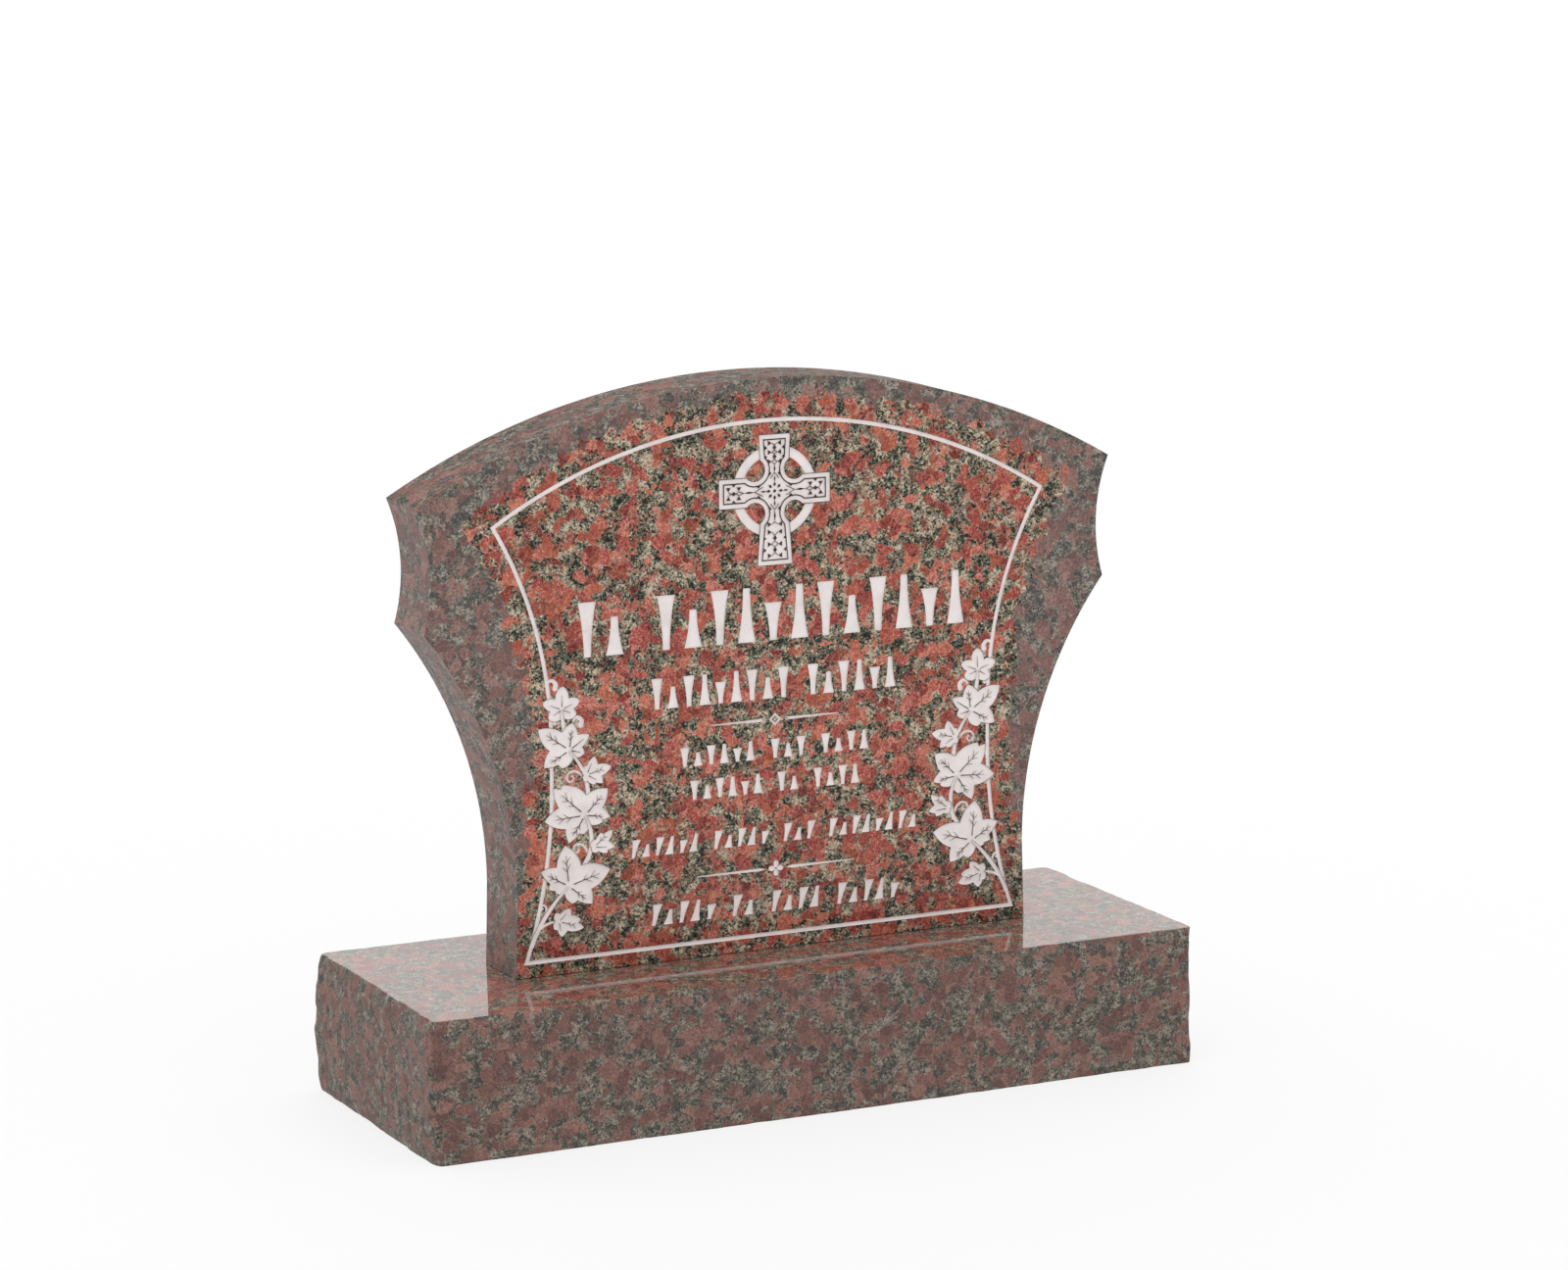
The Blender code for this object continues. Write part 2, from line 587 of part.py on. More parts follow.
def make_base(parts):
    edit = bmesh.new()
    bmesh.ops.create_cube(edit, size=1.0)
    bmesh.ops.scale(edit, vec=(BASE_LENGTH, BASE_DEPTH, BASE_HEIGHT), verts=edit.verts)
    bmesh.ops.translate(edit, vec=(0.0, 0.0, BASE_HEIGHT / 2), verts=edit.verts)
    slice_evenly(edit, 0, BASE_LENGTH, 0.0, round(BASE_LENGTH / ROCK_FACET))
    slice_evenly(edit, 1, BASE_DEPTH, 0.0, round(BASE_DEPTH / ROCK_FACET))
    slice_evenly(edit, 2, BASE_HEIGHT, BASE_HEIGHT / 2, ROCK_COURSES)
    for upward in (1, -1):
        level = [face for face in edit.faces if face.normal.z * upward > 0.5]
        bmesh.ops.dissolve_faces(edit, faces=level, use_verts=False)
    loose = [vertex for vertex in edit.verts if not vertex.link_faces]
    bmesh.ops.delete(edit, geom=loose, context="VERTS")
    rock_face(edit)
    mesh = bpy.data.meshes.new("base")
    edit.to_mesh(mesh)
    edit.free()
    base = bpy.data.objects.new("base", mesh)
    base.data.materials.append(granite("rock_pitched_red_granite", (0.24, 0.15, 0.13), 0.6))
    parts.objects.link(base)
    return base


def main():
    clear_scene()
    parts = new_collection("granite_headstone")
    cutters = new_collection("cutters")
    make_base(parts)
    make_tablet(parts, cutters)


main()
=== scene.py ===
import math
import bpy
import numpy as np
from mathutils import Matrix, Vector
from mathutils.geometry import delaunay_2d_cdt


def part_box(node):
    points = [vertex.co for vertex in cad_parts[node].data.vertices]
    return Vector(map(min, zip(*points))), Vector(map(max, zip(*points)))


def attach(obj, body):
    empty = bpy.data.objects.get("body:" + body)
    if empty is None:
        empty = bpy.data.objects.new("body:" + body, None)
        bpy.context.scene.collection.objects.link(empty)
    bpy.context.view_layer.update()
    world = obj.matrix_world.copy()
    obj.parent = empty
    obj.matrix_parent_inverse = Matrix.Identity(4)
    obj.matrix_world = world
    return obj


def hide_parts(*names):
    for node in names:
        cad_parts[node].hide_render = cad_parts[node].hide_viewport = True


# Granite headstone: the finely carved tablet, its pitched base, and a plain white studio.
# The carving is drawn in millimetres on the tablet's face, from its middle and its foot.

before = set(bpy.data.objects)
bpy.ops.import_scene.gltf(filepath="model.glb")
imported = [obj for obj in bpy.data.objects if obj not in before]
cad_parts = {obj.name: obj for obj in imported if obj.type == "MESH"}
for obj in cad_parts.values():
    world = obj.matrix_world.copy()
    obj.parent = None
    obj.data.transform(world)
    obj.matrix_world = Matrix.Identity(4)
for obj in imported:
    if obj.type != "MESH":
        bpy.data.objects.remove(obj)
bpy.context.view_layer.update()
tabletLow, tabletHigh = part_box("tablet")
baseLow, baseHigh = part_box("base")
mm = 1000.0
print("frame loaded")


# Camera and studio

camera = {
    "place": (-2.2976, -4.7861, 1.4688),  # metres
    "yaw": 25.9572,  # degrees to the right of straight ahead
    "pitch": -10.3503,
    "roll": -0.3313,
    "lens": 112.77,  # millimetres
    "sensor": 36.0,  # its width in millimetres
    "farthest": 60.0,  # metres
}


def makeCamera(look):
    data = bpy.data.cameras.new("camera")
    data.sensor_width = look["sensor"]
    data.lens = look["lens"]
    data.clip_end = look["farthest"]
    eye = bpy.data.objects.new("camera", data)
    turn = Matrix.Rotation(math.radians(-look["yaw"]), 4, "Z")
    turn = turn @ Matrix.Rotation(math.radians(90 + look["pitch"]), 4, "X")
    turn = turn @ Matrix.Rotation(math.radians(look["roll"]), 4, "Z")
    eye.matrix_world = Matrix.Translation(look["place"]) @ turn
    bpy.context.scene.collection.objects.link(eye)
    bpy.context.scene.camera = eye


makeCamera(camera)

studio = {
    "sky": 1.22,  # strength of the white light from all round
    "sheen": 0.020,  # what a surface adds to its colour in that light
    "darkest": 0.002,
    "lampEnergy": 0.5,
    "lampTilt": (0.16, -0.22, 0.0),
    "lampSoftness": 2.4,  # radians across
    "floorSize": 30.0,  # metres
    "floorColour": (0.15, 0.15, 0.15, 1.0),
    "floorGlow": 0.772,  # the white sweep is lit from below
    "floorRoughness": 0.9,
    "floorIor": 1.2,
}


def makeStudio(look):
    scene = bpy.context.scene
    scene.view_settings.view_transform = "Standard"
    world = bpy.data.worlds.new("studio")
    world.use_nodes = True
    sky = world.node_tree.nodes["Background"]
    sky.inputs["Color"].default_value = (1.0, 1.0, 1.0, 1.0)
    sky.inputs["Strength"].default_value = look["sky"]
    scene.world = world
    lampData = bpy.data.lights.new("overhead", "SUN")
    lampData.energy = look["lampEnergy"]
    lampData.angle = look["lampSoftness"]
    lamp = bpy.data.objects.new("overhead", lampData)
    lamp.rotation_euler = look["lampTilt"]
    scene.collection.objects.link(lamp)


makeStudio(studio)
print("camera and studio made")


# Shader maths: a Signal is a socket that takes part in sums, a Paint adds a material's nodes

class Signal:
    def __init__(self, paint, socket):
        self.paint, self.socket = paint, socket

    def __add__(self, other): return self.paint.maths("ADD", self, other)
    def __radd__(self, other): return self.paint.maths("ADD", other, self)
    def __sub__(self, other): return self.paint.maths("SUBTRACT", self, other)
    def __rsub__(self, other): return self.paint.maths("SUBTRACT", other, self)
    def __mul__(self, other): return self.paint.maths("MULTIPLY", self, other)
    def __rmul__(self, other): return self.paint.maths("MULTIPLY", other, self)
    def __pow__(self, other): return self.paint.maths("POWER", self, other)
    def __abs__(self): return self.paint.maths("ABSOLUTE", self)
    def least(self, other): return self.paint.maths("MINIMUM", self, other)
    def most(self, other): return self.paint.maths("MAXIMUM", self, other)


class Paint:
    def __init__(self, name):
        self.material = bpy.data.materials.new(name)
        self.material.use_nodes = True
        self.tree = self.material.node_tree
        self.tree.nodes.clear()

    def node(self, kind, settings, inputs, output=0):
        made = self.tree.nodes.new(kind)
        stops = settings.pop("stops", None)
        for key, value in settings.items():
            setattr(made, key, value)
        if stops:
            ramp = made.color_ramp
            while len(ramp.elements) < len(stops):
                ramp.elements.new(0.5)
            for element, (position, colour) in zip(ramp.elements, stops):
                element.position, element.color = position, colour
        for key, value in inputs.items():
            if isinstance(value, Signal):
                self.tree.links.new(value.socket, made.inputs[key])
            else:
                made.inputs[key].default_value = value
        return Signal(self, made.outputs[output])

    def maths(self, operation, *values):
        return self.node("ShaderNodeMath", {"operation": operation}, dict(enumerate(values)))

    def vector(self, operation, *values):
        return self.node("ShaderNodeVectorMath", {"operation": operation}, dict(enumerate(values)))

    def scaled(self, vector, factor):
        return self.node("ShaderNodeVectorMath", {"operation": "SCALE"}, {0: vector, "Scale": factor})

    def mix(self, factor, first, second):  # first at factor 0, second at 1
        return self.node("ShaderNodeMix", {"data_type": "RGBA"}, {0: factor, 6: first, 7: second}, 2)

    def ramp(self, value, stops):
        return self.node("ShaderNodeValToRGB", {"stops": stops}, {0: value})

    def step(self, value, low, high):  # 0 at low, 1 at high
        return self.node("ShaderNodeMapRange", {}, {0: value, 1: low, 2: high, 3: 0.0, 4: 1.0})

    def noise(self, place, scale, detail=2.0, output=0):  # output 0 is its value, 1 its colour
        inputs = {"Vector": place, "Scale": scale, "Detail": detail}
        return self.node("ShaderNodeTexNoise", {}, inputs, output)

    def cells(self, place, scale, output, feature="F1"):
        # output 0 is the distance, 1 the random colour of the nearest cell, 2 its place
        inputs = {"Vector": place, "Scale": scale}
        return self.node("ShaderNodeTexVoronoi", {"feature": feature}, inputs, output)

    def onObject(self):  # each point's place on the object, in metres
        return self.node("ShaderNodeTexCoord", {}, {}, "Object")

    def split(self, vector):
        return [self.node("ShaderNodeSeparateXYZ", {}, {0: vector}, axis) for axis in range(3)]

    def shaken(self, place, scale, reach, detail=2.0):  # place moved by up to half of reach each way
        push = self.vector("SUBTRACT", self.noise(place, scale, detail, 1), (0.5, 0.5, 0.5))
        return self.vector("ADD", place, self.scaled(push, reach))

    def surface(self, values, bump=None, bumpDepth=0.0):
        if bump:
            values["Normal"] = self.node("ShaderNodeBump", {}, {"Height": bump, "Distance": bumpDepth})
        shader = self.node("ShaderNodeBsdfPrincipled", {}, values)
        out = self.tree.nodes.new("ShaderNodeOutputMaterial")
        self.tree.links.new(shader.socket, out.inputs["Surface"])
        return self.material


def tone(red, green, blue):  # a colour named by its sRGB values, 0 to 255
    shares = np.array([red, green, blue]) / 255.0
    linear = np.where(shares <= 0.04045, shares / 12.92, ((shares + 0.055) / 1.055) ** 2.4)
    return (*linear.tolist(), 1.0)


def stone(red, green, blue):
    # a colour named by how it looks in the studio: less the sheen, over the sky's strength
    *seen, _ = tone(red, green, blue)
    bare = [max((share - studio["sheen"]) / studio["sky"], studio["darkest"]) for share in seen]
    return (*bare, 1.0)


def weighed(signals, weights):
    # each signal's swing round 0.5 times its weight, added up
    first, *others = [(signal - 0.5) * weight for signal, weight in zip(signals, weights)]
    return sum(others, first)


# Granite: brick-red feldspar crystals in a ground of straw, sage and black flecks

granite = {
    "crystal": 12.5,  # sizes in millimetres
    "patch": 21.0,
    "cluster": 11.0,
    "fleck": 2.2,
    "fibre": 7.0,
    "grit": 640.0,  # scale of the finest noise
    "bend": (75.0, 0.014, 3.0),  # how an outline is shaken: scale, reach in metres and detail
    "fleckBend": (420.0, 0.0034),
    "bundleBend": (50.0, 0.03),
    "clusterPlace": (3.1, 1.7, 5.3),  # where another noise is read
    "crackPlace": (0.7, 2.3, 1.1),
    "redWeights": (0.65, 0.40, 1.2),  # of crystal, fleck and grit, in a red's lightness
    "depthWeights": (2.0, 0.75, 1.4, 0.15),  # of cluster, fleck, grit and crystal, in the ground
    "shareWeights": (2.1, 0.70, 0.14),  # of patch, crystal and fleck, in what is red
    "redEdge": (-0.12, 0.14),  # shares between which ground turns to red
    "groundEdge": (0.16, 0.02),
    "amberEdge": (0.5, 1.0),
    "amberShare": 0.42,
    "gritLight": 0.8,
    "cracks": (0.022, 0.004),  # widths, from none to full
    "crackShare": 0.6,
    "fibres": (0.026, 0.0),
    "seams": (0.045, 0.0),
    "seamShare": 1.5,
    "paleShares": (0.35, 0.3),  # more in the ground, and everywhere
    "specks": (0.15, 0.10),
    "speckCluster": 0.7,
    "speckShares": (0.6, 0.3),
    "brightness": (0.21, 0.72, 0.07),  # of red, green and blue
    "veil": (0.65, 3.1),  # how much of the dust is even, and how much follows the stone
    "reds": [
        (0.10, stone(100, 50, 46)), (0.34, stone(146, 70, 66)),
        (0.60, stone(172, 86, 80)), (0.90, stone(206, 138, 120)),
    ],
    "grounds": [
        (0.15, stone(20, 28, 25)), (0.33, stone(58, 70, 60)), (0.54, stone(102, 110, 96)),
        (0.75, stone(146, 138, 121)), (0.92, stone(204, 186, 165)),
    ],
    "amber": stone(192, 112, 78),
    "black": stone(38, 34, 26),
    "straw": stone(198, 166, 136),
    "dust": stone(107, 104, 101),  # the even tone that a steeled face tends to
    "warmDust": stone(112, 107, 102),  # and a broken one
}


def graniteColour(paint, place):
    # crystals, flecks and patches, each with its own random tone
    look = granite
    bent = paint.shaken(place, *look["bend"])
    flecked = paint.shaken(place, *look["fleckBend"])
    bundle = paint.shaken(place, *look["bundleBend"])
    crystalShare, crystalTone, crystalDepth = paint.split(paint.cells(bent, mm / look["crystal"], 1))
    fleckDepth, fleckTone, fleckShare = paint.split(paint.cells(flecked, mm / look["fleck"], 1))
    patch = paint.noise(bent, mm / look["patch"], 2.0)
    cluster = paint.noise(paint.vector("ADD", place, look["clusterPlace"]), mm / look["cluster"], 3.0)
    grit = paint.noise(place, look["grit"], 2.0)
    seam = paint.cells(bent, mm / look["crystal"], 0, "DISTANCE_TO_EDGE")
    fibre = abs(paint.noise(bundle, mm / look["fibre"], 1.0) - 0.5)
    crack = abs(paint.noise(paint.vector("ADD", bundle, look["crackPlace"]), mm / look["fibre"], 2.0) - 0.5)

    red = paint.ramp(weighed((crystalTone, fleckTone, grit), look["redWeights"]) + 0.5, look["reds"])
    red = paint.mix(paint.step(crystalDepth, *look["amberEdge"]) * look["amberShare"], red, look["amber"])
    depth = weighed((cluster, fleckDepth, grit, crystalDepth), look["depthWeights"]) + 0.5
    ground = paint.ramp(depth, look["grounds"])
    share = weighed((patch, crystalShare, fleckShare), look["shareWeights"])
    between = paint.step(share, *look["groundEdge"])  # 1 in the ground, 0 inside a red crystal
    colour = paint.mix(paint.step(share, *look["redEdge"]), ground, red)
    colour = paint.scaled(colour, 1.0 + (grit - 0.5) * look["gritLight"])

    cracked = paint.step(crack, *look["cracks"]) * between * look["crackShare"]
    colour = paint.mix(cracked, colour, look["black"])
    seamed = paint.step(seam, *look["seams"]) * grit * look["seamShare"]
    pale = paint.step(fibre, *look["fibres"]).most(seamed)
    inGround, everywhere = look["paleShares"]
    colour = paint.mix(pale * (between * inGround + everywhere), colour, look["straw"])
    speck = paint.step(fleckDepth + (cluster - 0.5) * look["speckCluster"], *look["specks"])
    inGround, everywhere = look["speckShares"]
    return paint.mix(speck * (between * inGround + everywhere), colour, look["black"])


def faded(paint, colour, dust, fade):
    # towards the dust by the share of fade; the dust keeps some of the stone's light and dark
    sockets = {0: colour, 1: granite["brightness"]}
    light = paint.node("ShaderNodeVectorMath", {"operation": "DOT_PRODUCT"}, sockets, 1)
    even, following = granite["veil"]
    return paint.mix(fade, colour, paint.scaled(dust[:3], even + light * following))


polish = {
    "fade": 0.34,  # towards the warm dust
    "grain": 260.0,  # scale of the noise in the gloss
    "roughness": (0.02, 0.03),  # least, added by the grain
    "ior": 1.55,
}


def polishedGranite(name):
    paint = Paint(name)
    place = paint.onObject()
    least, added = polish["roughness"]
    return paint.surface({
        "Base Color": paint.mix(polish["fade"], graniteColour(paint, place), granite["warmDust"]),
        "Roughness": least + paint.noise(place, polish["grain"], 2.0) * added,
        "IOR": polish["ior"],
    })


steeled = {
    "grain": (420.0, 4.0),  # scale and detail
    "unevenness": 0.2,
    # share of dust, roughness, relief in metres, brightness, kind of dust and index of refraction
    "finishes": {
        "darkLine": (0.5, 0.3, 0.0, 0.16, "dust", 1.36),
        "steeledGranite": (0.62, 0.5, 0.0002, 0.96, "dust", 1.36),
        # the crown's is a darker copy of the steeled finish: painted shade on the tablet's top faces
        "crownPaintedShadeGranite": (0.60, 0.6, 0.0002, 0.92, "dust", 1.16),
        "pitchedGranite": (0.60, 0.6, 0.0006, 0.74, "warmDust", 1.36),
    },
}


def steeledGranite(name):
    fade, roughness, relief, brightness, dust, ior = steeled["finishes"][name]
    paint = Paint(name)
    place = paint.onObject()
    colour = faded(paint, graniteColour(paint, place), granite[dust], fade)
    colour = paint.mix(1.0 - brightness, colour, (0.0, 0.0, 0.0, 1.0))
    grain = paint.noise(place, *steeled["grain"])
    return paint.surface({
        "Base Color": colour,
        "Roughness": roughness + (grain - 0.5) * steeled["unevenness"],
        "IOR": ior,
    }, grain, relief)


panel = {
    "reach": 27.0,  # how far the polished panel runs past the border line, in millimetres
    "ragged": 9.0,
    "raggedness": 120.0,  # scale of the noise in its edge
    "bend": (75.0, 0.016, 3.0),  # how the crystals along its edge are shaken
    "blur": 0.8,
    "fade": 0.68,
    "paintedFootShade": (0.34, 0.13),  # heights in metres between which painted shade darkens the polished stone towards its foot, by the base
    "paintedShadeDepth": 0.16,
    "grain": 260.0,
    "polished": (0.03, 0.06),  # roughness: least, added by the grain
    "steeled": (0.42, 0.1),  # roughness and its unevenness
    "ior": 1.34,
}


def faceGranite(name, crown, flanks):
    # polished inside the border's circles, grown by the panel's reach, and steeled beyond
    paint = Paint(name)
    place = paint.onObject()
    # painted shade: the face darkens downwards towards the base, between the given heights
    paintedFootShade = paint.step(paint.split(place)[2], *panel["paintedFootShade"]) * panel["paintedShadeDepth"]
    colour = paint.scaled(graniteColour(paint, place), 1.0 - paintedFootShade)
    crystal = paint.cells(paint.shaken(place, *panel["bend"]), mm / granite["crystal"], 2)
    x, _, z = paint.split(crystal)
    x, z = abs(x) * mm, z * mm
    inside = None
    for (across, up, radius), outward in [(crown, -1.0)] + [(flank, 1.0) for flank in flanks]:
        distance = ((x - across) ** 2.0 + (z - up) ** 2.0) ** 0.5
        margin = (distance - radius) * outward + panel["reach"]
        inside = margin if inside is None else inside.least(margin)
    edge = inside + (paint.noise(place, panel["raggedness"], 2.0) - 0.5) * panel["ragged"]
    polished = paint.step(edge, -panel["blur"], panel["blur"])
    grain = paint.noise(place, panel["grain"], 2.0)
    gloss = panel["polished"][0] + grain * panel["polished"][1]
    rough = panel["steeled"][0] + (grain - 0.5) * panel["steeled"][1]
    return paint.surface({
        "Base Color": paint.mix(polished, faded(paint, colour, granite["dust"], panel["fade"]), colour),
        "Roughness": rough + (gloss - rough) * polished,
        "IOR": panel["ior"],
    })


paintwork = {  # matt white paint, a little uneven, on a blasted floor
    "grain": (900.0, 3.0),  # scale and detail
    "cloud": (60.0, 3.0),
    "weights": (0.6, 0.4),  # of cloud and grain in its tone
    "tones": [(0.30, tone(202, 193, 191)), (0.50, tone(215, 207, 205)), (0.72, tone(222, 216, 215))],
    "roughness": (0.6, 0.2),
    "relief": 0.0002,  # metres
}


def carvedPaint(name):
    paint = Paint(name)
    place = paint.onObject()
    grain = paint.noise(place, *paintwork["grain"])
    cloud = paint.noise(place, *paintwork["cloud"])
    clouded, grained = paintwork["weights"]
    least, added = paintwork["roughness"]
    return paint.surface({
        "Base Color": paint.ramp(cloud * clouded + grain * grained, paintwork["tones"]),
        "Roughness": least + grain * added,
    }, grain, paintwork["relief"])


# Outlines: arrays of (across, up) points

def bowed(start, end, bow, steps):
    # arc from start to end; bow is its height over the chord, to the left of the way
    start, end = np.array(start, float), np.array(end, float)
    chord = np.hypot(*(end - start))
    radius = (chord ** 2 / 4 + bow ** 2) / (2 * abs(bow))
    half = 2 * math.atan(2 * abs(bow) / chord)
    turn = np.linspace(-half, half, steps + 1)[:, None]
    along = (end - start) / chord
    left = np.array([-along[1], along[0]]) * np.sign(bow)
    up = left * radius * (np.cos(turn) - math.cos(half))
    return (start + end) / 2 + along * radius * np.sin(turn) + up


def arch(corner, height, steps):
    return bowed(corner, (-corner[0], corner[1]), corner[1] - height, steps)


def flankCircle(waist, end):
    # circle through end whose centre is level with the waist
    run, rise = end[0] - waist[0], end[1] - waist[1]
    radius = (run ** 2 + rise ** 2) / (2 * run)
    return waist[0] + radius, waist[1], radius


def flank(waist, end, steps):
    # x = waist + radius (1 - cos turn), z = waist height + radius sin turn
    _, _, radius = flankCircle(waist, end)
    turn = np.linspace(0, math.asin((end[1] - waist[1]) / radius), steps + 1)
    return np.stack([waist[0] + radius * (1 - np.cos(turn)), waist[1] + radius * np.sin(turn)], 1)


def flipped(points):
    return points[::-1] * (-1, 1)


def grown(loop, distance):
    # closed loop moved to its right by distance, with mitred corners
    into, out = loop - np.roll(loop, 1, 0), np.roll(loop, -1, 0) - loop
    into /= np.hypot(into[:, :1], into[:, 1:])
    out /= np.hypot(out[:, :1], out[:, 1:])
    normal = np.stack([into[:, 1] + out[:, 1], -into[:, 0] - out[:, 0]], 1)
    return loop + normal * 2 * distance / np.maximum((normal ** 2).sum(1), 0.5)[:, None]


def smooth(points, steps):
    # Catmull-Rom curve through the points
    points = np.array(points, float)
    knots = np.concatenate([2 * points[:1] - points[1:2], points, 2 * points[-1:] - points[-2:-1]])
    a, b, c, d = (knots[n:len(knots) - 3 + n, None] for n in range(4))
    t = np.linspace(0, 1, steps, endpoint=False)[None, :, None]
    square, cube = 2 * a - 5 * b + 4 * c - d, 3 * b - a - 3 * c + d
    path = 0.5 * (2 * b + (c - a) * t + square * t ** 2 + cube * t ** 3)
    return np.concatenate([path.reshape(-1, 2), points[-1:]])


def ribbon(path, firstWidth, lastWidth=None):
    # strip round an open path: each point moved sideways by half the width there
    widths = np.linspace(firstWidth, firstWidth if lastWidth is None else lastWidth, len(path))
    along = np.gradient(path, axis=0)
    along /= np.hypot(along[:, :1], along[:, 1:])
    side = np.stack([-along[:, 1], along[:, 0]], 1) * widths[:, None] / 2
    return np.concatenate([path - side, (path + side)[::-1]])


def polar(radius, turn):
    return np.stack([radius * np.cos(turn), radius * np.sin(turn)], 1)


def disc(across, up, radius, steps):
    return polar(radius, np.arange(steps) * 2 * math.pi / steps) + (across, up)


# The carving is a list of shapes laid over each other: the last one that covers a spot counts

shapes = []
proud, painted, dark = 0, 1, 2  # polished face, engraved and painted, thin line of dark polished face


def leave(loop, kind=proud):
    shapes.append((np.asarray(loop, float), kind))


def engrave(loop):
    leave(loop, painted)


tablet = {
    "earWidth": (tabletHigh.x - tabletLow.x) * mm,
    "crownHeight": (tabletHigh.z - tabletLow.z) * mm,
    "footWidth": 622.0,
    "waistWidth": 617.0,
    "waistHeight": 90.0,
    "cuspWidth": 821.0,
    "cuspHeight": 385.0,
    "earHeight": 521.0,
    "scoop": 11.8,
    "arris": 0.7,
    "carvingDepth": 1.3,
    "steps": (96, 40, 20),  # of the crown, of a flank and of a scoop
}


def tabletOutline(look):
    ear = (look["earWidth"] / 2, look["earHeight"])
    cusp = (look["cuspWidth"] / 2, look["cuspHeight"])
    waist = (look["waistWidth"] / 2, look["waistHeight"])
    foot = np.array([[look["footWidth"] / 2, 0.0]])
    crownSteps, flankSteps, scoopSteps = look["steps"]
    crown = arch(ear, look["crownHeight"], crownSteps)
    scoop = bowed(cusp, ear, look["scoop"], scoopSteps)
    right = np.concatenate([foot, flank(waist, cusp, flankSteps), scoop[1:]])
    return np.concatenate([right, crown[1:-1], flipped(right)])


border = {
    "line": 4.5,
    "lean": -2.6,  # how far its foot stands to the left of its head
    "tilt": 1.4,  # how far its left corner stands up, and its right one down
    "crownHeight": 588.0,
    "corner": (330.3, 492.4),
    "waist": 265.2,
    "waistLow": 210.0,
    "waistHigh": 255.0,
    "foot": (296.5, 17.0),
    "steps": (60, 30, 24),  # of the crown and of a flank over and under the waist
}


def leant(points):
    # sideways by the lean at the foot and upwards by the tilt at the corners, less in between
    x, z = (points / border["corner"]).T
    return points + np.stack([border["lean"] * (1 - z), -border["tilt"] * x * z], 1)


def drawBorder(look):
    waist, corner = look["waist"], look["corner"]
    crownSteps, upperSteps, lowerSteps = look["steps"]
    lower = flank((waist, look["waistLow"]), look["foot"], lowerSteps)[::-1]
    upper = flank((waist, look["waistHigh"]), corner, upperSteps)
    crown = arch(corner, look["crownHeight"], crownSteps)
    right = np.concatenate([lower, upper])
    centreLine = np.concatenate([right, crown[1:-1], flipped(right)])
    engrave(leant(grown(centreLine, look["line"] / 2)))
    leave(leant(grown(centreLine, -look["line"] / 2)))


def borderCircles(look, foot):
    # centre across, centre over the ground and radius: of the crown's arc, then of each flank's
    half, top = look["corner"][0], look["crownHeight"] - look["corner"][1]
    radius = (half ** 2 + top ** 2) / (2 * top)
    crown = (0.0, look["crownHeight"] - radius + foot, radius)
    flanks = []
    for height, end in ((look["waistHigh"], look["corner"]), (look["waistLow"], look["foot"])):
        across, up, radius = flankCircle((look["waist"], height), end)
        flanks.append((across, up + foot, abs(radius)))
    return crown, flanks


# Ring cross with a plait in each arm

cross = {
    "centre": 509.9,
    "aside": 1.2,  # it stands a touch to the right
    "armReach": 66.8, "armHalf": 16.0,
    "topReach": 62.0, "topHalf": 18.6,
    "footReach": 81.2, "footHalf": 20.9,
    "shaftHalf": 17.2,
    "armpit": 24.0, "armpitRadius": 12.5,
    "ring": (50.6, 40.2),
    "band": 4.7,
    "line": 1.4,
    "halo": 0.7,
    "gap": 2.9,
    "seam": 0.8,
    "slitHalf": 1.2,
    "single": (1.15, 0.85),  # half length and half width of a single gap, in gaps
    "pair": (0.9, 0.7),  # reach of a paired gap inwards and outwards, in gaps
    "notch": (2.2, 1.0, 2.6),  # depth, overlap and half width
    "heart": 7.4,  # radius of the circle of gaps in the middle
    "heartGap": (0.95, 0.62),
    "heartTip": (13.4, 3.6, 1.1),  # place, half length and half width of the gap beyond it
    "eye": 2.2,
    "neck": 19.5,  # where the strands cross between the middle and each arm
    "neckGap": (3.6, 7.2, 3.4),  # across from and to, and half length
    "neckSeam": (5.5, 5.0),  # how far back and aside it ends
    # each arm: direction, slit, pairs of gaps, single gaps, how far a pair stands off, half width
    "plaits": [
        (0, (24.0, 37.5), (43.0, 55.6), (49.3,), 5.0, 9.2),
        (-90, (20.5, 34.0), (36.5, 45.0, 58.4, 71.0), (51.7, 64.7), 6.6, 12.4),
        (180, (24.0, 37.5), (43.0, 55.6), (49.3,), 5.0, 9.2),
        (90, (20.5, 29.0), (32.4, 42.6, 52.6), (37.5, 47.6), 6.0, 10.8),
    ],
}


def crossOutline(look, inset):
    # each quarter: the arm's tip, round the armpit's circle towards the middle, the shaft's end
    radius, armpit = look["armpitRadius"] + inset, look["armpit"]
    arm, shaft = look["armHalf"] - inset, look["shaftHalf"] - inset
    first = math.asin((arm - armpit) / radius)
    last = math.acos((shaft - armpit) / radius) - 2 * math.pi
    turn = np.linspace(first, last, 33)
    bite = polar(radius, turn) + armpit
    quarters = []
    for reach, endHalf in ((look["footReach"], look["footHalf"]), (look["topReach"], look["topHalf"])):
        tip, end = [[look["armReach"] - inset, arm]], [[endHalf - inset, reach - inset]]
        quarters.append(np.concatenate([tip, bite, end]))
    right = np.concatenate([quarters[0][::-1] * (1, -1), quarters[1]])
    return np.concatenate([right, flipped(right)])


def turned(points, degrees):
    cos, sin = math.cos(math.radians(degrees)), math.sin(math.radians(degrees))
    return np.array(points) @ np.array([[cos, sin], [-sin, cos]])


def diamond(along, across, halfLength, halfWidth):
    return np.array([[halfLength, 0], [0, halfWidth], [-halfLength, 0], [0, -halfWidth]]) + (along, across)


